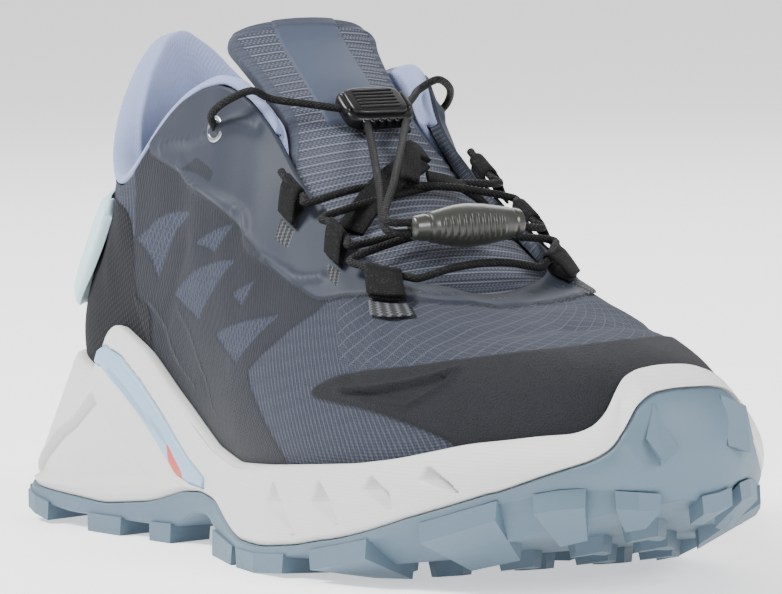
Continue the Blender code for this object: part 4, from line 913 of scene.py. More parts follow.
front_row = np.linspace(TONGUE_FRONT[1], ROUND - TONGUE_FRONT[1], 11)
tongue_rows = [near_top(front_row, -TONGUE_FRONT[0] * BALL_WIDTH, -(UPPER_WALL + TONGUE_EASE))]
tongue_ups = [throat_normal(TONGUE_FRONT[1])]
for station, reach, crown in TONGUE_THROAT:
    tongue_rows.append(tongue_row(station, reach, crown))
    tongue_ups.append(throat_normal(station))
for x, z, half, fall in TONGUE_TOP:
    k = np.array([-1, -.9, -.75, -.5, -.25, 0, .25, .5, .75, .9, 1])
    centre = np.array((x * LENGTH, 0, z * COLLAR_HEIGHT))
    tongue_rows.append(centre + np.outer(k * half * BALL_WIDTH, (0, 1, 0))
                       - np.outer(fall * BALL_WIDTH * np.abs(k) ** 2.4, tongue_ups[-1]))
    tongue_ups.append(tongue_ups[-1])


def finer(rows, count):
    """A Catmull-Rom curve through rows of points along the first axis, at evenly spaced places."""
    rows = np.array(rows)
    wide = np.concatenate([[2 * rows[0] - rows[1]], rows, [2 * rows[-1] - rows[-2]]])
    place = np.linspace(0, len(rows) - 1, count)
    low = np.clip(np.floor(place).astype(int), 0, len(rows) - 2)
    k = (place - low).reshape((-1,) + (1,) * (rows.ndim - 1))
    a, b, c, d = wide[low], wide[low + 1], wide[low + 2], wide[low + 3]
    return .5 * (2 * b + (c - a) * k + (2 * a - 5 * b + 4 * c - d) * k**2 + (3 * b - a - 3 * c + d) * k**3)


TONGUE_ACROSS, TONGUE_ALONG = 120, 300
skin = finer(np.swapaxes(finer(tongue_rows, TONGUE_ALONG), 0, 1), TONGUE_ACROSS).swapaxes(0, 1)
ups = finer(tongue_ups, TONGUE_ALONG)[:, None]
k = np.linspace(-1, 1, TONGUE_ACROSS)
along_k = np.linspace(0, 1, TONGUE_ALONG)
side_round = np.sqrt(np.clip(1 - np.abs(k) ** 6, 0, 1))[None, :]
end_round = np.sqrt(np.clip(1 - ((along_k - .5) / .5) ** 16, 0, 1))[:, None]
thick = TONGUE_THICKNESS * (.12 + .88 * side_round) * (.10 + .90 * end_round)
thick = thick * (.35 + .65 * smoothstep(.0, .12, along_k))[:, None]
along_m = np.concatenate([[0], np.cumsum(np.linalg.norm(np.diff(skin[:, 60], axis=0), axis=-1))])
across_m = np.cumsum(np.concatenate([np.zeros((TONGUE_ALONG, 1)),
                                     np.linalg.norm(np.diff(skin, axis=1), axis=-1)], 1), 1)
across_m = across_m - across_m[:, 60:61]
TOTAL = along_m[-1]
from_top = (TOTAL - along_m)[:, None]
PATCH_HALF, PATCH_LENGTH = 9.0 * MM, 41 * MM
patch = np.maximum(np.abs(across_m) - PATCH_HALF, from_top - PATCH_LENGTH)
binding = np.minimum(np.minimum(across_m - across_m[:, :1], across_m[:, -1:] - across_m), from_top) - 2.6 * MM
face_lift = bank(patch, .45 * MM, .4 * MM) + bank(binding, .3 * MM, .4 * MM)
row_wave = .5 + .5 * np.sin((along_m[:, None] - 6 * np.abs(across_m) ** 2) / (3.1 * MM) * 2 * math.pi)
face_lift = face_lift + .38 * MM * row_wave * smoothstep(0, .8 * MM, patch)
front_face = skin + ups * (face_lift * side_round)[..., None]
back_face = skin - ups * thick[..., None]
tongue_ring = np.concatenate([front_face, back_face[:, ::-1]], 1)
tongue_uv = (np.concatenate([across_m, across_m[:, ::-1]], 1), along_m[:, None])
tongue_values = {"patch": np.concatenate([patch, patch[:, ::-1] * 0 + .01], 1),
                 "binding": np.concatenate([binding, binding[:, ::-1]], 1)}
tongue = grid_piece("tongue_cloth", tongue_ring, ring=True, uv=tongue_uv, values=tongue_values,
                    faces=end_faces(tongue_ring))
outward(tongue, 1e-7)
look = Look("tongue_knit", Sheen_Weight=.05, Specular_IOR_Level=.35)
u, v = look.map()
where = look.place()
bent = v - u * u * 6
rows = threads(bent, .0031, .10, .08)
stepped = u + threads(bent, .0016, .5, .1) * .0005
cells = threads(stepped, .0011, .42, .25) * threads(bent, .00078, .5, .3)
on_patch = 1 - look.value("patch").step(-.0001, .0003)
on_binding = 1 - look.value("binding").step(-.0002, .0002)
shade = look.noise(60, 3, at=where)
colour = look.blend(cells * .70, (.075, .085, .125), (.36, .385, .47))
colour = look.blend(rows * .55, colour, (.60, .63, .73))
colour = look.blend(on_patch, colour, look.blend(shade * .4, (.105, .130, .195), (.135, .165, .24)))
colour = look.blend(on_binding * .85, colour, (.085, .098, .14))
height = (cells * .6 + rows * .7) * (1 - on_patch) * (1 - on_binding) + look.noise(1500, 2, at=where) * .15
TONGUE_KNIT = look.paint(colour, .80 - on_patch * .22, height, .3 * MM, .7, tone=.42, saturation=1.15)
finished(tongue, TONGUE_KNIT, stands_for=("tongue",))

# %% [markdown]
# The insole is a thin foam sheet under brushed cloth. Only a glimpse of it shows through the collar, so a
# welded and rounded copy of the solid is enough.

# %% Insole


def copy_of(node, name):
    """A welded copy of a solid, with the frame's place already in its mesh."""
    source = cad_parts[node]
    obj = bpy.data.objects.new(name, source.data.copy())
    obj.data.materials.clear()
    bpy.context.scene.collection.objects.link(obj)
    outward(obj, 1e-5)
    obj.data.shade_smooth()
    return obj


insole = copy_of("insole", "insole_sheet")
round_edges = insole.modifiers.new("round", "BEVEL")
round_edges.width, round_edges.segments = .8 * MM, 3
look = Look("insole_cloth", Sheen_Weight=.3)
where = look.place()
nap = look.noise(1100, 4, at=where)
colour = look.blend(nap * .7, (.07, .085, .125), (.14, .16, .22))
INSOLE = look.paint(colour, .9 + nap * .05, nap, .2 * MM, .6)
finished(insole, INSOLE, stands_for=("insole",))

# %% [markdown]
# The midsole is moulded foam. Its side is the same surface as the solid's, on a finer grid. The notches, the
# hollow in the heel's side and the groove for the band are dents: a function of how far inside each outline
# a point lies. That keeps the edges rounded, as foam that came out of a mould.

# %% Dents in the midsole's side
NOTCHES = (
    (8.33, .64, 8.26, 8.52, .50, 8.68, .29), (9.08, .70, 9.00, 9.22, .55, 9.28, .40),
    (9.73, .77, 9.64, 9.89, .67, 9.92, .53), (10.35, .87, 10.26, 10.50, .77, 10.58, .69),
)
NOTCH_DEPTH = 4.0 * MM
HOLLOW = [(2.95, 1.02), (4.40, .41), (3.0, .33), (1.55, .31), (2.2, .70)]
BAND = [(s, high) for s, low, high in BAND_LINES] + [(s, low) for s, low, high in BAND_LINES[::-1]]
sole_at = np.concatenate([np.linspace(0, 1, 60, endpoint=False), np.linspace(1, 11, 380, endpoint=False),
                          np.linspace(11, TOE, 120)])


def drawn_distance(outline, station, height, closed=True):
    """Signed distance from an outline on the sole's side, drawn in station and height, in metres."""
    across = np.hypot(*(np.gradient(column("tread_" + axis, station[:, 0])) for axis in "xy"))
    flat = np.cumsum(across) + 0 * across
    line = np.array(outline, float)
    x = np.interp(line[:, 0], station[:, 0], flat)
    p = np.stack([flat[:, None] + 0 * height, height], -1)
    line = np.stack([x, line[:, 1] * HEEL_STACK], -1)
    ends = np.roll(line, -1, 0) if closed else line[1:]
    best, within = np.full(height.shape, 1.0), np.zeros(height.shape, bool)
    for a, b in zip(line, ends):
        d = b - a
        k = np.clip(((p - a) @ d) / max(d @ d, 1e-12), 0, 1)
        best = np.minimum(best, np.linalg.norm(p - a - k[..., None] * d, axis=-1))
        if closed and a[1] != b[1]:
            crosses = (p[..., 1] > a[1]) != (p[..., 1] > b[1])
            within ^= crosses & (p[..., 0] < a[0] + (p[..., 1] - a[1]) / (b[1] - a[1]) * d[0])
    return np.where(within, -best, best)


def side_dent(station, height):
    """How far the side is pressed in: notches like sharp leaves, a shallow hollow and the band's groove."""
    dent = np.zeros(height.shape)
    for top_s, top_z, left, right, side_z, foot_s, foot_z in NOTCHES:
        level = height / HEEL_STACK
        knees = (foot_z, side_z, top_z)
        start, stop = (np.interp(level, knees, (foot_s, side, top_s)) for side in (left - .03, right + .03))
        share = (station - start) / np.maximum(stop - start, .01)
        inside_leaf = (level > foot_z) & (level < top_z) & (share > 0) & (share < 1)
        depth = np.sin(np.clip((level - foot_z) / (top_z - foot_z), 0, 1) * math.pi) ** .5 * NOTCH_DEPTH
        ramp = np.where(share < .72, share / .72, (1 - share) / .28)
        dent += np.where(inside_leaf, depth * np.clip(ramp, 0, 1), 0)
    hollow = drawn_distance(HOLLOW, station, height)
    dent += smoothstep(0, 1.6 * MM, -hollow) * 2.0 * MM - bump_line(hollow, .45 * MM, 1.1 * MM)
    groove = drawn_distance(BAND, station, height)
    dent += smoothstep(-.3 * MM, .5 * MM, -groove) * 2.2 * MM
    return dent - bump_line(groove - 1.0 * MM, .3 * MM, .9 * MM)


def across_rows(first, last, height, count):
    """Points from one side of the sole to the other at the middle's own height, without the ends."""
    shares = np.linspace(0, 1, count + 2)[1:-1][None, :, None]
    points = first[:, None] * (1 - shares) + last[:, None] * shares
    points[..., 2] = height[:, None]
    return points


def midsole_wall(at, fold):
    """The wall at each station: under the rubber, out over its edge, up to the rim, down to the footbed."""
    low = edge_height(at) + OUTSOLE_BASE + GAP
    line = smooth_line(OUTSOLE_LINE, at, OUTSOLE_LINE_INNER_TOE)
    step = np.maximum(line, low + 1 * MM - GAP) + GAP
    rim = smooth_line(RIM_LINE, at, RIM_LINE_INNER_TOE)
    inset = OUTSOLE_WRAP + GAP
    parts = [side_point(at[:, None], low[:, None] + (step - low)[:, None] * np.array((0, .5, .97)), inset)]
    k = np.linspace(0, .93, 52)
    height = step[:, None] + (rim - step)[:, None] * k
    lip = smoothstep(0, .06, k)[None] * 1.0
    station = np.broadcast_to(fold[:, None], height.shape)
    dent = side_dent(station, height)
    parts.append(side_point(at[:, None], height, dent + (1 - lip) * .8 * MM))
    parts.append(np.stack([rim_point(at, RIM_WALL * k) for k in (.97, .85, .65, .35, .12, 0)], 1))
    parts[-1][:, 0, 2] -= .35 * MM
    parts[-1][:, 2:4, 2] += .25 * MM
    rim_share = share_at_height(at, rim)
    ladder = np.array((.8, .6, .4, .2))
    parts.append(wall(at[:, None], rim_share[:, None] * ladder, GAP + .5 * MM))
    foot = wall(at, 0 * at, GAP)
    foot[:, 2] = column("foot_z", at) - GAP
    parts.append(foot[:, None])
    return np.concatenate(parts, 1), k


sides = [midsole_wall(at % ROUND, sole_at) for at in (sole_at, (ROUND - sole_at))]
outer_wall, inner_wall = sides[0][0], sides[1][0]
middle_low = np.minimum(underside(column("tread_x", sole_at)),
                        np.minimum(edge_height(sole_at), edge_height(ROUND - sole_at))) + OUTSOLE_BASE + GAP
footbed = column("foot_z", sole_at) - GAP
midsole_ring = np.concatenate([across_rows(outer_wall[:, 0], inner_wall[:, 0], middle_low, 6), inner_wall,
                               across_rows(inner_wall[:, -1], outer_wall[:, -1], footbed, 6),
                               outer_wall[:, ::-1]], 1)
midsole = grid_piece("midsole_foam", midsole_ring, ring=True)
outward(midsole, 2e-6)
look = Look("midsole_foam", Subsurface_Weight=.06, Subsurface_Scale=.004)
where = look.place()
parts_of = look.node("ShaderNodeSeparateXYZ", {}, {0: where}, output=2)
lines = ((parts_of / .00085).part() - .5).size() * 2
lines_here = look.noise(14, 2, at=where).step(.46, .58)
skin_noise = look.noise(1800, 2, at=where)
stain = look.noise(22, 4, at=where)
colour = look.blend(stain * .5, (.80, .815, .79), (.70, .715, .69))
colour = look.blend(lines * lines_here * .10, colour, (.45, .46, .45))
FOAM = look.paint(colour, .52 + stain * .18, lines * lines_here * .35 + skin_noise * .12, .22 * MM, .5,
                  tone=.74)
finished(midsole, FOAM, stands_for=("midsole",))

# %% [markdown]
# The two bands let into the sole's side are strips of harder foam. They follow the same lines as their
# groove and stand a little proud of it, with a small red wedge near the front end.

# %% Side bands
ACCENT = [(4.72, .72), (5.18, .50), (5.02, .44), (4.80, .50)]


def band_ring(at, mirrored):
    """The band's profile at each station: a shallow crown between its lower and upper line."""
    places, lows, highs = np.array(BAND_LINES).T
    low, high = np.interp(at, places, lows) * HEEL_STACK, np.interp(at, places, highs) * HEEL_STACK
    there = (ROUND - at) % ROUND if mirrored else at
    k = np.array((0, 0, .03, .10, .25, .5, .75, .90, .97, 1, 1))
    inset = np.array((2.0, .3, -.55, -.85, -.95, -1.0, -.95, -.85, -.55, .3, 2.0)) * MM
    z = low[:, None] + (high - low)[:, None] * k
    return side_point(there[:, None], z, inset[None, :]), z


look = Look("band_foam")
where = look.place()
cloud = look.noise(40, 3, at=where)
on_accent = 1 - look.value("accent").step(-.0001, .0001)
on_slot = 1 - look.value("slot").step(-.0001, .0003)
colour = look.blend(cloud * .3, (.30, .46, .64), (.36, .52, .70))
# painted shade: the slot is darker, as shade falls in its recess
colour = look.blend(on_slot * .5, colour, (.16, .27, .40))
colour = look.blend(on_accent, colour, (.62, .035, .03))
height = look.noise(1600, 2, at=where) * .3 - on_slot
BAND_FOAM = look.paint(colour, .46 + cloud * .1, height, .3 * MM, .6, tone=.85, saturation=.95)
SLOT = [(3.25, 1.19), (3.32, 1.21), (4.55, .80), (4.75, .70), (4.62, .72)]
for name, mirrored in (("outer", False), ("inner", True)):
    at = np.linspace(BAND_LINES[0][0], BAND_LINES[-1][0], 120)
    ring, z = band_ring(at, mirrored)
    station = np.broadcast_to(at[:, None], z.shape)
    marks = {"accent": drawn_distance(ACCENT, station, z), "slot": drawn_distance(SLOT, station, z)}
    band = grid_piece("band_" + name, ring, ring=True, values=marks, faces=end_faces(ring))
    outward(band)
    finished(band, BAND_FOAM, stands_for=("sole_band_" + name,))

# %% [markdown]
# The outsole is a cupped sheet of rubber with blocks on it. The sheet is a fine grid again. Each lug is the
# convex block of a few corners with bevelled edges, because that is how the mould was cut.

# %% Outsole sheet
OUTER_LUGS = (
    (1.15, 1.75, .12), (1.98, 2.55, .14), (3.2, 3.85, .14), (4.4, 4.85, .12), (6.25, 7.3, .07),
    (7.45, 8.5, .15), (8.85, 9.55, .16), (10.1, 10.85, .14), (11.2, 11.75, .08),
)
INNER_LUGS = (
    (1.15, 1.75, .12), (1.98, 2.60, .14), (3.2, 3.85, .13), (4.4, 4.85, .12), (6.9, 7.7, .12),
    (8.1, 8.9, .14), (9.3, 10.0, .15), (10.4, 11.0, .14),
)
TOE_LUGS = ((12.05, 12.55), (13.1, 13.75), (14.0, 14.65))
ARROW_SIZE = (.030, .105)
ARROW_ROWS = (
    (.070, (-.02,), -1), (.130, (-.13, .09), -1), (.200, (-.12, .08), -1), (.270, (-.02,), -1),
    (.510, (-.12, .07), 1), (.580, (-.24, -.03, .17), 1), (.650, (-.23, -.01, .20), 1),
    (.720, (-.19, .03, .24), 1), (.790, (-.11, .09, .26), 1), (.860, (-.03, .14), 1), (.915, (.03,), 1),
)
BUMPER_RIBS = (
    ((12.66, 1.31, .4), (12.50, 1.08, 1.4), (12.58, .96, 3.2), (12.80, 1.00, 1.0), (12.60, .90, .4)),
    ((13.38, 1.33, .4), (13.62, 1.25, 2.8), (13.42, 1.00, .4), (13.66, .95, 3.2), (13.86, 1.02, 1.6)),
)


def outsole_wall(at):
    """The rubber's wall from its lower edge up and down again inside, with a rounded upper edge."""
    low = edge_height(at)
    top = np.maximum(smooth_line(OUTSOLE_LINE, at, OUTSOLE_LINE_INNER_TOE), low + OUTSOLE_BASE + 1 * MM)
    floor = low + OUTSOLE_BASE
    k = np.array((0, .04, .12, .25, .4, .55, .7, .8, .88, .94, .98, 1))
    inset = np.array((1.0, .35, .05, 0, 0, 0, 0, 0, 0, .1, .4, .9)) * MM
    out = side_point(at[:, None], low[:, None] + (top - low)[:, None] * k, inset[None, :])
    back_k = np.array((.97, .55, .1))
    back = side_point(at[:, None], floor[:, None] + (top - floor)[:, None] * back_k, OUTSOLE_WRAP)
    return np.concatenate([out, back], 1)


outer_wall, inner_wall = outsole_wall(sole_at), outsole_wall((ROUND - sole_at) % ROUND)
middle = middle_low - OUTSOLE_BASE - GAP
sheet_ring = np.concatenate([across_rows(outer_wall[:, 0], inner_wall[:, 0], middle, 10), inner_wall,
                             across_rows(inner_wall[:, -1], outer_wall[:, -1], middle + OUTSOLE_BASE, 10),
                             outer_wall[:, ::-1]], 1)
outsole = grid_piece("outsole_sheet", sheet_ring, ring=True)
outward(outsole, 2e-6)


def block(work, corners):
    """Adds the convex solid round the corners to a growing mesh."""
    made = [work.verts.new(corner + SHIFT) for corner in corners]
    hull = bmesh.ops.convex_hull(work, input=made)
    loose = [item for item in hull["geom_interior"] if isinstance(item, bmesh.types.BMVert)]
    bmesh.ops.delete(work, geom=loose, context="VERTS")


def lug_corners(first, last, reach, root=LUG_ROOT):
    """Five corners at the root and five at the foot, the foot a little smaller."""
    corners = []
    for station, inward in ((first, 0), ((first + last) / 2, 0), (last, 0), (last - .1, 1), (first + .1, 1)):
        for proud, is_foot in ((.6, False), (1.0, True)):
            inset = inward * reach - LUG_PROUD * proud * (1 - inward)
            point = side_point(station, edge_height(station), inset)
            lift = edge_lift(station) * (1 - inward)
            point[2] = (ground(point[0]) if is_foot else underside(point[0]) + root) + lift
            corners.append(point)
    middle = np.mean(corners, 0)
    for index in range(1, len(corners), 2):
        corners[index][:2] += (middle[:2] - corners[index][:2]) * .05
    return corners


lug_mesh = bmesh.new()
for first, last, reach in OUTER_LUGS:
    block(lug_mesh, lug_corners(first, last, reach * BALL_WIDTH))
for first, last, reach in INNER_LUGS:
    block(lug_mesh, lug_corners(ROUND - last, ROUND - first, reach * BALL_WIDTH))
for first, last in TOE_LUGS:
    block(lug_mesh, lug_corners(first, last, .065 * BALL_WIDTH, LUG_ROOT * .6))
ARROW = np.array([(.5, 0), (-.1, .5), (-.5, .5), (-.15, 0), (-.5, -.5), (-.1, -.5)])
for x, places, way in ARROW_ROWS:
    for place in places:
        for half in ((0, 1, 2, 3), (0, 3, 4, 5)):
            corners = []
            for shrink, is_foot in ((1.0, False), (.86, True)):
                px = x * LENGTH + way * ARROW[list(half), 0] * ARROW_SIZE[0] * LENGTH * shrink
                py = place * BALL_WIDTH + ARROW[list(half), 1] * ARROW_SIZE[1] * BALL_WIDTH * shrink
                pz = ground(px) if is_foot else underside(px) + LUG_ROOT
                corners += list(np.stack([px, py, pz], -1))
            block(lug_mesh, corners)
for corners in BUMPER_RIBS:
    block(lug_mesh, [side_point(s, h * HEEL_STACK, -stand * MM) for s, h, stand in corners]
          + [side_point(s, h * HEEL_STACK, OUTSOLE_WRAP / 2) for s, h, stand in corners])
bmesh.ops.recalc_face_normals(lug_mesh, faces=lug_mesh.faces)
mesh = bpy.data.meshes.new("outsole_lugs")
lug_mesh.to_mesh(mesh)
lug_mesh.free()
lugs = bpy.data.objects.new("outsole_lugs", mesh)
bpy.context.scene.collection.objects.link(lugs)
chamfer = lugs.modifiers.new("chamfer", "BEVEL")
chamfer.width, chamfer.segments, chamfer.angle_limit = .45 * MM, 2, math.radians(25)

look = Look("outsole_rubber")
where = look.place()
cloud = look.noise(35, 3, at=where)
streaky_noise = look.noise(260, 4, at=where, stretch=(1, 1, 3))
height_z = look.node("ShaderNodeSeparateXYZ", {}, {0: where}, output=2)
# darker patches of a streaky noise in the lowest 3 mm above the floor, on the lugs' feet
low_dark_patches = (1 - height_z.step(.0, .003)) * streaky_noise.step(.45, .7)
colour = look.blend(cloud * .4, (.30, .45, .59), (.37, .53, .67))
colour = look.blend(low_dark_patches * .35, colour, (.24, .34, .42))
height = look.noise(1400, 2, at=where) * .5 + streaky_noise * .3
RUBBER = look.paint(colour, .50 + streaky_noise * .14, height, .2 * MM, .45, tone=.28, saturation=1.1)
finished(outsole, RUBBER, stands_for=("outsole",))
finished(lugs, RUBBER)

# %% [markdown]
# A broad moulded loop at the heel helps to pull the shoe on. It is one bent strip with rounded edges that
# stands off the heel in the middle and lies on it at its two ends.

# %% Heel loop
HEEL_TAB = (
    (-2.3, .78, .84), (-2.0, .52, .74), (-1.8, .40, .70), (-1.45, .27, .65), (-1.0, .25, .61),
    (0.0, .25, .58), (1.0, .25, .61), (1.45, .27, .65), (1.8, .40, .70), (2.0, .52, .74), (2.3, .78, .84),
)
OVERLAY_GAP, PULL_TAB, TAB_STAND = .35 * MM, 2.6 * MM, 2.4 * MM
places, lows, highs = np.array(HEEL_TAB).T
at = np.linspace(-2.3, 2.3, 160)
low, high = (np.interp(at, places, line) for line in (lows, highs))
kernel = np.ones(9) / 9
low, high = (np.convolve(np.pad(line, 4, mode="edge"), kernel, "valid") for line in (low, high))
k = np.array((0, .03, .10, .2, .35, .5, .65, .8, .9, .97, 1))
crown = np.array((.10, .55, .9, 1.0, 1.0, .95, 1.0, 1.0, .9, .55, .10))
lift = OVERLAY_GAP + TAB_STAND * (1 - np.abs(at / 2.3) ** 3)[:, None]
shares_at = low[:, None] + (high - low)[:, None] * k
front = wall(at[:, None], shares_at, lift + PULL_TAB * crown)
rear = wall(at[:, None], shares_at[:, ::-1], lift + 0 * crown)
tab_ring = np.concatenate([front, rear], 1)
heel_loop = grid_piece("heel_loop", tab_ring, ring=True, faces=end_faces(tab_ring))
outward(heel_loop)
look = Look("loop_rubber")
where = look.place()
cloud = look.noise(50, 3, at=where)
colour = look.blend(cloud * .4, (.40, .56, .62), (.48, .64, .70))
LOOP = look.paint(colour, .42 + cloud * .15, look.noise(1500, 2, at=where), .15 * MM, .4, tone=1.2)
finished(heel_loop, LOOP, stands_for=("heel_tab",))

# %% [markdown]
# Webbing loops carry the lace. Each is a strap that comes out of a slit in the film, folds round the cord and
# goes back. The cord itself is one braided tube that crosses the throat from loop to loop.

# %% Loops of webbing
LACE_DIAMETER, WEBBING_THICKNESS, WEBBING_WIDTH, FILM_THICKNESS = 2.0 * MM, .9 * MM, 9 * MM, .8 * MM
LOOP_EYES = {
    "outer": ((8.13, -.33), (9.25, -.36), (10.45, -.80)),
    "inner": ((8.30, .28), (9.32, .18), (10.80, .00)),
}
LOOP_REACH, LOOP_EASE, LACE_HUMP = 8 * MM, .8 * MM, 2.6 * MM
LAYER_BASE = 2 * OVERLAY_GAP + FILM_THICKNESS
EYE_HEIGHT = LAYER_BASE + WEBBING_THICKNESS + LACE_DIAMETER / 2 + LOOP_EASE
EYE_STEPS = (1.5, 1, .5, 0, -.5, -1, -1.5)


def stations_per_metre(station):
    return .1 / np.linalg.norm(near_top(station + .05, 0, 0) - near_top(station - .05, 0, 0))


def eye_place(side, row):
    station, past = LOOP_EYES[side][row - 1]
    return (station if side == "outer" else ROUND - station), past * WEBBING_WIDTH


def eye_point(side, row, end=0):
    """The middle of a loop's eye, or a point just outside its front end, 1, or its rear end, -1."""
    station, past = eye_place(side, row)
    reach = end * (WEBBING_WIDTH * .5 + LACE_DIAMETER * .5) * stations_per_metre(station)
    return near_top(station + (reach if side == "outer" else -reach), past, EYE_HEIGHT)


look = Look("webbing", Specular_IOR_Level=.2)
u, v = look.map()
where = look.place()
weft = threads(v, .0007, .5, .25)
warp = threads(u + weft * .00025, .00075, .4, .2)
fleck = look.noise(1300, 1, at=where).step(.60, .68)
colour = look.blend(warp * .6, (.010, .010, .013), (.075, .078, .09))
colour = look.blend(fleck * .5, colour, (.28, .29, .33))
WEBBING = look.paint(colour, .80 + 0 * warp, warp * .6 + weft * .4, .3 * MM, .9, tone=.08)


def loop_profile(count):
    """The strap's side view: flat under the cord, round it by an arc, and flat back on top of itself."""
    radius = LACE_DIAMETER / 2 + LOOP_EASE * .35
    angles = np.radians(np.linspace(-100, 128, count))
    arc = radius * np.stack([np.cos(angles), np.sin(angles)], 1)
    floor_level = -EYE_HEIGHT + LAYER_BASE
    under = np.stack([np.linspace(-LOOP_REACH, -1.0 * MM, 8), np.full(8, floor_level + .2 * MM)], 1)
    under[-2:, 1] += (.15 * MM, .35 * MM)
    falling = np.linspace(.8 * MM, floor_level + .9 * MM, 8)
    over = np.stack([np.linspace(-2.2 * MM, -LOOP_REACH, 8), falling], 1)
    return np.concatenate([under, arc, over])


for side in ("outer", "inner"):
    for row in (1, 2, 3):
        station, past = eye_place(side, row)
        per_metre = stations_per_metre(station)
        line = loop_profile(22)
        tangent = np.gradient(line, axis=0)
        tangent /= np.linalg.norm(tangent, axis=1, keepdims=True)
        normal = np.stack([tangent[:, 1], -tangent[:, 0]], 1)
        widths = np.array((-.5, -.5, -.46, -.25, 0, .25, .46, .5, .5))
        lifts = np.array((0, .5, .95, 1, 1, 1, .95, .5, 0)) * WEBBING_THICKNESS * .8
        ring_w = np.concatenate([widths, widths[::-1]])
        ring_d = np.concatenate([lifts, 0 * lifts])
        there = station + ring_w[None, :] * WEBBING_WIDTH * .92 * per_metre + 0 * line[:, :1]
        e = past + line[:, :1] + normal[:, :1] * ring_d[None, :]
        d = EYE_HEIGHT + line[:, 1:] + normal[:, 1:] * ring_d[None, :]
        points = near_top(there, e, d)
        along = np.concatenate([[0], np.cumsum(np.linalg.norm(np.diff(line, axis=0), axis=1))])
        uv = (ring_w[None, :] * WEBBING_WIDTH + 0 * line[:, :1], along[:, None] + 0 * there)
        strap = grid_piece(f"loop_{side}_{row}", points, ring=True, uv=uv, faces=end_faces(points))
        outward(strap, 1e-7)
        finished(strap, WEBBING, stands_for=(f"lace_loop_{side}_{row}",))

# %% [markdown]
# A cord is a circle carried along a smooth path. Its map runs round and along it, so the braid twists too.

# %% Cords


def smooth_path(points, per_run=6):
    """A Catmull-Rom curve through the route's points."""
    return finer(points, (len(points) - 1) * per_run + 1)


def tube_points(path, radius, sides=14):
    """Circles square to the path, turned as little as possible from one to the next."""
    path = np.array(path)
    tangent = np.gradient(path, axis=0)
    tangent /= np.linalg.norm(tangent, axis=1, keepdims=True)
    across = np.cross(tangent[0], (0.3, .2, 1))
    frames = []
    for way in tangent:
        across = across - way * (across @ way)
        across = across / np.linalg.norm(across)
        frames.append(across)
    first = np.array(frames)
    second = np.cross(tangent, first)
    angle = np.linspace(0, 2 * math.pi, sides, endpoint=False)
    size = np.broadcast_to(radius, (len(path),))[:, None, None]
    ring = first[:, None] * np.cos(angle)[None, :, None] + second[:, None] * np.sin(angle)[None, :, None]
    return path[:, None] + ring * size


def cord_piece(name, path, diameter, sides=14):
    points = tube_points(path, diameter / 2, sides)
    along = np.concatenate([[0], np.cumsum(np.linalg.norm(np.diff(path, axis=0), axis=1))])
    turn = np.abs(np.linspace(-1, 1, sides, endpoint=False)) * math.pi * diameter / 2
    obj = grid_piece(name, points, ring=True, uv=(turn[None, :], along[:, None]), faces=end_faces(points))
    return outward(obj, 1e-7), float(along[-1])


look = Look("braided_cord", Specular_IOR_Level=.25)
u, v = look.map()
where = look.place()
one = threads(u + v * .8, .0009, .4, .25)
two = threads(u - v * .8, .0009, .4, .25)
fleck = (look.noise(900, 1, at=where).step(.58, .64)) * one
colour = look.blend(one * .5, (.008, .008, .010), (.05, .05, .056))
colour = look.blend(fleck * .6, colour, (.30, .31, .34))
BRAID = look.paint(colour, .62 + one * .15, one * .6 + two * .6, .25 * MM, .9, tone=.10)


def strand(start, end, hump):
    up = throat_normal(LOOP_EYES["outer"][1][0])
    return [start * (1 - k) + end * k + up * hump * 4 * k * (1 - k) for k in (.25, .5, .75)]


def lace_half(side, other, lift):
    """From one side's lowest eye to and fro up to the highest eye. One half passes over the other."""
    route = [eye_point(side, 3, end) for end in EYE_STEPS]
    here, there = side, other
    for row in (2, 1):
        route += strand(route[-1], eye_point(there, row, 1), LACE_HUMP + lift)
        route += [eye_point(there, row, end) for end in EYE_STEPS]
        here, there = there, here
    return route


halves = lace_half("outer", "inner", .9 * MM), lace_half("inner", "outer", -.9 * MM)
bar = strand(halves[0][0], halves[1][0], LACE_HUMP)
lacing_path = smooth_path(halves[0][::-1] + bar + halves[1], 5)
lacing, lacing_length = cord_piece("lacing", lacing_path, LACE_DIAMETER)
finished(lacing, BRAID, stands_for=("lace",))
print("cord in the lacing:", round(lacing_length, 3), "m")

# %% [markdown]
# Four short cords are free between their ends: two run from the eyelets over the bead to the lock, and two
# from the lock to the grip. Each follows the route that the solid has, and the length it comes to is printed.

# %% Free cords and what they join
EYELET_STATION, EYELET_BELOW = 5.82, 11.2 * MM
EYELET_RING, EYELET_WIRE, EYELET_LIFT = 2.9 * MM, .62 * MM, 1.25 * MM
LOCK_LENGTH, LOCK_WIDTH, LOCK_THICKNESS, GRIP_LENGTH = 13 * MM, 18.5 * MM, 5 * MM, 31 * MM
LOCK_PLACE, GRIP_PLACE = np.array((126.0, 3.0, 111.2)) * MM, np.array((188.0, -4.0, 84.4)) * MM
REACH_STEPS = ((0, -11.0, 3.6), (.12, -8.0, 4.6), (.4, -3.0, 5.2), (.75, 3.4, 3.6), (.95, 5.4, -1.0))
TAILS = {"outer": (-4.5, -1.3), "inner": (6.5, 1.3)}
LEAN = throat_normal(TONGUE_THROAT[-1][0])
LOCK_AXES = np.array(((0, 1.0, 0), (-LEAN[2], 0, LEAN[0]), LEAN))
LOCK_HALF = np.array((LOCK_WIDTH, LOCK_LENGTH, LOCK_THICKNESS)) / 2


def lock_point(across, up, out):
    """A point of the lock in halves of its width, length and thickness."""
    return LOCK_PLACE + (np.array((across, up, out)) * LOCK_HALF) @ LOCK_AXES


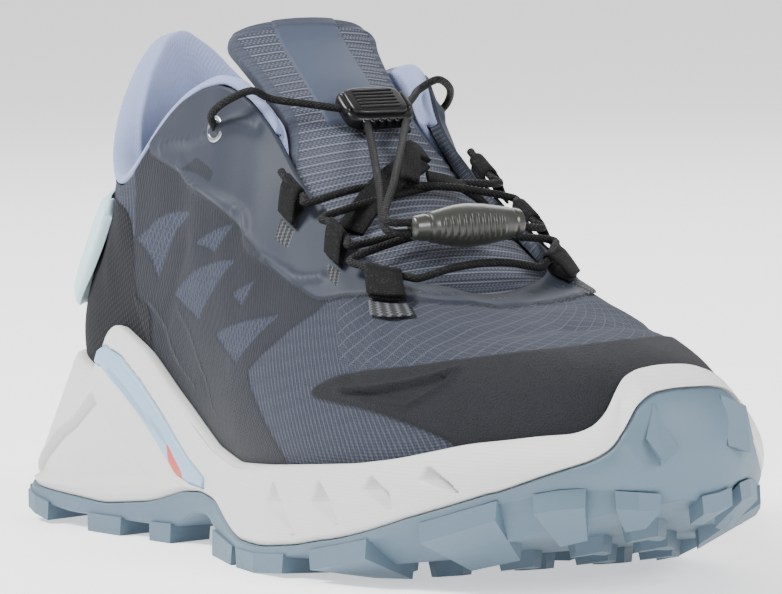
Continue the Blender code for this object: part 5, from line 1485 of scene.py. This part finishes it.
def free_cord(name, node, route):
    """One free run of the lace: a cord along its route, with the lace's diameter; the length that the route
    has is printed.
    """
    path = smooth_path(route, 8)
    cord, length = cord_piece(name, path, LACE_DIAMETER)
    finished(cord, BRAID, stands_for=(node,))
    tuple(path[0] + SHIFT)
    (path + SHIFT).tolist()
    print(name, "is", round(length * 1000, 1), "mm long")


for side, turn in (("outer", -1), ("inner", 1)):
    eyelet_at = EYELET_STATION if side == "outer" else ROUND - EYELET_STATION
    route = []
    for step, past, out in REACH_STEPS:
        at = EYELET_STATION + step
        route.append(near_top(at if side == "outer" else ROUND - at, past * MM, out * MM))
    route[0] = near_top(eyelet_at, -EYELET_BELOW, 1.2 * MM)
    goal = lock_point(turn, 0, 0) + np.array((0, turn, 0)) * (GAP - .5 * MM)
    free_cord("reach_" + side, "lace_reach_" + side, route + [route[-1] * .5 + goal * .5, goal])
    across, end_z = TAILS[side]
    start = lock_point(across / (LOCK_WIDTH / 2 / MM), -1, -.1) + LOCK_AXES[1] * .6 * MM
    end = GRIP_PLACE + np.array((0, -GRIP_LENGTH / 2 + .6 * MM, end_z * MM))
    before = end + np.array((-3.5, -5.6, 1.2)) * MM
    out = LEAN * (1.5 + turn * .9) * MM
    route = [start, start * .9 + before * .1 + out * .4, start * .62 + before * .38 + out,
             start * .3 + before * .7 + out, before, end]
    free_cord("tail_" + side, "lace_tail_" + side, route)

# %% [markdown]
# The lock is a glossy moulded body with a ridged button on it. Each of its parts is a rounded slab: a
# superellipse carried through its thickness, with a fillet at both ends.

# %% Lock


def slab(centre, axes, half, power=4.0, fillet=.25, around=56):
    """Rings of a superellipse |x|^p + |y|^p = 1, drawn in at both faces by a quarter circle."""
    angle = np.linspace(0, 2 * math.pi, around, endpoint=False)
    x = np.sign(np.cos(angle)) * np.abs(np.cos(angle)) ** (2 / power)
    y = np.sign(np.sin(angle)) * np.abs(np.sin(angle)) ** (2 / power)
    bend = np.linspace(0, math.pi / 2, 6)
    inset = np.concatenate([1 - np.sin(bend), 1 - np.sin(bend[::-1])]) * fillet * half[2]
    drop = (1 - np.cos(bend)) * fillet
    level = np.concatenate([drop - 1, 1 - drop[::-1]]) * half[2]
    rings = np.stack([(half[0] - inset[:, None]) * x[None], (half[1] - inset[:, None]) * y[None],
                      level[:, None] + 0 * x[None]], -1)
    return centre + rings @ axes


def slab_mesh(name, slabs):
    """Several slabs as closed bodies of one mesh."""
    whole = bmesh.new()
    for rings in slabs:
        part = grid_piece(name + "_part", rings, ring=True, faces=end_faces(rings))
        outward(part, 1e-7)
        whole.from_mesh(part.data)
        bpy.data.objects.remove(part)
    mesh = bpy.data.meshes.new(name)
    whole.to_mesh(mesh)
    whole.free()
    mesh.shade_smooth()
    mesh.set_sharp_from_angle(angle=math.radians(40))
    obj = bpy.data.objects.new(name, mesh)
    bpy.context.scene.collection.objects.link(obj)
    return obj


def lock_slab(across, up, out, half, power=4.0, fillet=.3):
    return slab(lock_point(across, up, out), LOCK_AXES, np.array(half) * MM, power, fillet)


slabs = [lock_slab(0, 0, -.25, (9.25, 6.3, 1.9), 5.0, .5)]
slabs += [lock_slab(-.02, .05, .52, (7.9, 5.2, 1.3), 4.5, .6)]
slabs += [lock_slab(0, k, 1.02, (5.6, .32, .35), 8, .5) for k in (-.42, -.22, -.02, .18, .38, .58)]
slabs += [lock_slab(k, -1.0, .1, (.55, .7, .9), 4, .4) for k in np.linspace(-.62, .62, 6)]
slabs += [lock_slab(k, -1.06, -.75, (1.1, 1.3, .8), 3, .6) for k in (-.52, .72)]
slabs += [lock_slab(k, .1, .15, (1.2, 3.6, 1.6), 3, .7) for k in (-.93, .93)]
lock = slab_mesh("cord_lock", slabs)
look = Look("lock_plastic", Specular_IOR_Level=.25, Coat_Weight=.05, Coat_Roughness=.15)
where = look.place()
scratch = look.noise(300, 4, at=where, stretch=(1, 4, 1))
colour = look.blend(scratch * .4, (.003, .003, .0035), (.009, .009, .010))
LOCK_LOOK = look.paint(colour, .26 + scratch * .22, scratch * .4, .1 * MM, .3)
finished(lock, LOCK_LOOK, stands_for=("lace_lock",))

# %% [markdown]
# The grip on the cords' ends is a turned form: its radius is a smooth function of the place along it. Plain
# ribs round its middle give the fingers a hold.

# %% Grip
GRIP_OUTLINE = (
    (0, 2.8), (2, 3.1), (3.5, 3.3), (7.5, 4.2), (12, 5.2), (15.5, 5.5), (20, 5.2), (25, 4.4), (29, 3.7),
    (31, 3.2),
)
GRIP_END, GRIP_MIDDLE, RIB_PITCH, RIB_HEIGHT = 31, 15.5, 1.7, .28  # in millimetres, like the outline
place = np.linspace(0, GRIP_END, 140)
radius = np.interp(place, *np.array(GRIP_OUTLINE).T)
kernel = np.hanning(23) / np.hanning(23).sum()
radius = np.convolve(np.pad(radius, 11, mode="edge"), kernel, "valid")
rounded = np.clip((np.abs(place - GRIP_MIDDLE) - 14.6) / .9, 0, 1)
radius = radius * np.clip(np.sqrt(1 - rounded ** 2), .55, 1)
angle = np.linspace(0, 2 * math.pi, 64, endpoint=False)
ribbed = smoothstep(6.0, 8.0, place) * (1 - smoothstep(23.5, 25.5, place))
rib = RIB_HEIGHT * ribbed * np.sin(place * 2 * math.pi / RIB_PITCH)
rib = rib[:, None] * smoothstep(.25, .6, np.cos(angle * 2)[None, :])
groove = .35 * np.exp(-((place - 4.6) / .45) ** 2) + .25 * np.exp(-((place - 28) / .45) ** 2)
size = (radius[:, None] - groove[:, None] + rib) * MM
level = (place[:, None] - GRIP_MIDDLE) * MM + 0 * size
grip_points = GRIP_PLACE + np.stack([size * np.cos(angle), level, size * np.sin(angle)], -1)
grip = grid_piece("cord_grip", grip_points, ring=True, faces=end_faces(grip_points))
outward(grip)
look = Look("grip_plastic", Subsurface_Weight=.25, Subsurface_Scale=.003, Coat_Weight=.25, Coat_Roughness=.2)
where = look.place()
milk = look.noise(160, 4, at=where)
colour = look.blend(milk * .6, (.105, .110, .085), (.19, .195, .165))
GRIP_LOOK = look.paint(colour, .30 + milk * .2, milk, .1 * MM, .2, tone=.15)
finished(grip, GRIP_LOOK, stands_for=("pull_grip",))

# %% [markdown]
# The top eyelets are pressed metal rings round a dark hole. The ring is a circle of small circles that
# follows the wall, so it lies flat on the film.

# %% Eyelets


def ring_on_wall(station, below, radius, thick, lift):
    """A torus laid on the wall: a big circle in the wall's own directions, a small one across it."""
    per_metre = stations_per_metre(station)
    big = np.linspace(0, 2 * math.pi, 64, endpoint=False)[:, None]
    small = np.linspace(0, 2 * math.pi, 16, endpoint=False)[None, :]
    reach = radius + thick * np.cos(small)
    return near_top(station + np.cos(big) * reach * per_metre, -below + np.sin(big) * reach,
                    lift + thick * .7 * np.sin(small) + 0 * big)


look = Look("eyelet_metal", Metallic=1.0)
brushed = look.noise(900, 3)
colour = look.blend(brushed, (.30, .31, .33), (.46, .47, .50))
METAL = look.paint(colour, .26 + brushed * .25, brushed, .05 * MM, .3)
look = Look("eyelet_shadow", Roughness=.9)
HOLE = look.paint(look.blend(look.noise(700, 2), (.004, .004, .005), (.010, .010, .012)))
for side in ("outer", "inner"):
    station = EYELET_STATION if side == "outer" else ROUND - EYELET_STATION
    points = ring_on_wall(station, EYELET_BELOW, EYELET_RING, EYELET_WIRE, EYELET_LIFT)
    eyelet = grid_piece("ring_" + side, points, around=True, ring=True)
    outward(eyelet)
    finished(eyelet, METAL, stands_for=("eyelet_" + side,))
    per_metre = stations_per_metre(station)
    big = np.linspace(0, 2 * math.pi, 48, endpoint=False)[:, None]
    reach = np.array((.02, 1.3, 2.4, 2.5, 2.4, 1.3, .02))[None, :] * MM
    level = np.array((1.0, 1.0, .98, .88, .75, .75, .75))[None, :] * MM
    disc = near_top(station + np.cos(big) * reach * per_metre, -EYELET_BELOW + np.sin(big) * reach, level)
    hole = grid_piece("hole_" + side, disc, around=True)
    outward(hole, 1e-4)
    finished(hole, HOLE)

# %% [markdown]
# Behind each webbing loop a block of zigzag stitches holds the strap under the film. It is a low raised pad,
# and its thread shows light on dark.

# %% Bar tacks
look = Look("bar_tack")
u, v = look.map()
zigzag = threads(u + ((v / .0011).part() - .5).size() * .0013, .0019, .42, .12)
rows_of = threads(v, .0011, .6, .2)
colour = look.blend(zigzag, (.012, .013, .018), (.30, .32, .38))
TACK = look.paint(colour, .75 + 0 * zigzag, zigzag * .8 + rows_of * .2, .4 * MM, 1.0, tone=.22)
TACK_WIDE, TACK_DEEP, TACK_BEHIND = 4.4 * MM, 3.4 * MM, 3.9 * MM
for side in ("outer", "inner"):
    for row in (1, 2, 3):
        station, past = eye_place(side, row)
        per_metre = stations_per_metre(station)
        a = np.linspace(-1, 1, 25)[:, None]
        b = np.linspace(-1, 1, 19)[None, :]
        rise = np.clip(1 - np.maximum(np.abs(a), np.abs(b)) ** 6, 0, 1)
        wide, deep = a * TACK_WIDE, b * TACK_DEEP
        behind = past - LOOP_REACH - TACK_BEHIND + deep
        points = near_top(station + wide * per_metre, behind, (.60 + .55 * rise) * MM)
        tack = grid_piece(f"tack_{side}_{row}", points, uv=(wide, deep))
        thick = tack.modifiers.new("thickness", "SOLIDIFY")
        thick.thickness, thick.offset = .3 * MM, -1
        finished(tack, TACK)

# %% [markdown]
# An elastic keeper on the tongue holds the lock and the tails when the shoe is worn. It is a soft dark strap
# with a folded end.

# %% Keeper


def tongue_point(station, share, lift):
    """A point over the gap of the throat, this far above the tongue's crown line."""
    crown = np.interp(-station, [-row[0] for row in TONGUE_THROAT], [row[2] for row in TONGUE_THROAT])
    ends = [near_top(side, 0, -(UPPER_WALL + TONGUE_EASE)) for side in (station, ROUND - station)]
    up = throat_normal(station)
    rise = crown * BALL_WIDTH * 4 * share * (1 - share) + lift
    return ends[0] * (1 - share) + ends[1] * share + up * rise


def strap_piece(name, route, width, thick, material):
    """A flat strap: an oval section carried along a smooth path, its width along the tongue."""
    path = smooth_path([tongue_point(station, share, lift * MM) for station, share, lift in route], 10)
    tangent = np.gradient(path, axis=0)
    tangent /= np.linalg.norm(tangent, axis=1, keepdims=True)
    down = np.array((LEAN[2], 0, -LEAN[0]))
    side = down - tangent * (tangent @ down)[:, None]
    side /= np.linalg.norm(side, axis=1, keepdims=True)
    over = np.cross(side, tangent)
    angle = np.linspace(0, 2 * math.pi, 28, endpoint=False)
    x = np.sign(np.cos(angle)) * np.abs(np.cos(angle)) ** .5 * width / 2
    y = np.sign(np.sin(angle)) * np.abs(np.sin(angle)) ** .7 * thick / 2
    ring = path[:, None] + side[:, None] * x[None, :, None] + over[:, None] * y[None, :, None]
    along = np.concatenate([[0], np.cumsum(np.linalg.norm(np.diff(path, axis=0), axis=1))])
    obj = grid_piece(name, ring, ring=True, uv=(x[None], along[:, None]), faces=end_faces(ring))
    outward(obj, 1e-7)
    return finished(obj, material)


KEEPERS = (
    ("keeper_band", 8 * MM, 1.5 * MM,
     ((9.05, .02, 1.2), (8.85, .16, 3.2), (8.62, .33, 4.6), (8.42, .50, 5.4), (8.22, .62, 5.6))),
    ("keeper_fold", 5 * MM, 1.6 * MM,
     ((8.75, .44, 6.3), (8.45, .52, 7.0), (8.12, .60, 7.2), (8.02, .66, 6.4), (8.2, .68, 5.6))),
    ("keeper_end", 4.5 * MM, 1.4 * MM,
     ((8.6, .60, 5.2), (8.68, .76, 5.0), (8.8, .92, 3.6), (8.9, 1.02, 1.6))),
)
for name, width, thick, route in KEEPERS:
    strap_piece(name, route, width, thick, WEBBING)

# %% [markdown]
# A pale floor and wide soft lights on a white world give the even light of a catalogue picture.

# %% Stage and light
floor_mesh = bpy.data.meshes.new("floor")
floor_mesh.from_pydata([(-9, -9, 0), (9, -9, 0), (9, 9, 0), (-9, 9, 0)], [], [(0, 1, 2, 3)])
floor = bpy.data.objects.new("floor", floor_mesh)
bpy.context.scene.collection.objects.link(floor)
floor_look = Look("floor_paper", Roughness=.9)
floor_look.paint(floor_look.blend(floor_look.noise(3, 2) * .2, (.90, .90, .90), (.88, .88, .885)))
floor_look.shader.inputs["Emission Color"].default_value = (1, 1, 1, 1)
floor_look.shader.inputs["Emission Strength"].default_value = .8
join_materials(floor, floor_look.material)


def soft_light(name, place, target, size, power):
    """A rectangular lamp at a place, turned to its target. Sizes in metres, power in watts."""
    data = bpy.data.lights.new(name, "AREA")
    data.shape, data.size, data.size_y, data.energy = "RECTANGLE", size[0], size[1], power
    lamp = bpy.data.objects.new(name, data)
    aim = (Vector(target) - Vector(place)).to_track_quat("-Z", "Y")
    lamp.matrix_world = Matrix.Translation(place) @ aim.to_matrix().to_4x4()
    bpy.context.scene.collection.objects.link(lamp)


soft_light("key", (-.5, -1.1, 1.5), (0, 0, .05), (.7, .5), 72)
soft_light("side", (1.7, .5, .9), (0, 0, .06), (.7, .7), 38)
soft_light("rear", (-1.2, .9, 1.2), (0, 0, .08), (1.0, .8), 13)
world = bpy.data.worlds.new("studio")
world.use_nodes = True
background = world.node_tree.nodes["Background"]
background.inputs[0].default_value = (1, 1, 1, 1)
seen = world.node_tree.nodes.new("ShaderNodeLightPath")
WORLD_LIGHT, WORLD_SEEN = .60, 4.0  # what it lends the scene, and how bright the camera sees it
share = world.node_tree.nodes.new("ShaderNodeMapRange")
share.inputs["To Min"].default_value, share.inputs["To Max"].default_value = WORLD_LIGHT, WORLD_SEEN
world.node_tree.links.new(seen.outputs["Is Camera Ray"], share.inputs["Value"])
world.node_tree.links.new(share.outputs[0], background.inputs[1])
bpy.context.scene.world = world
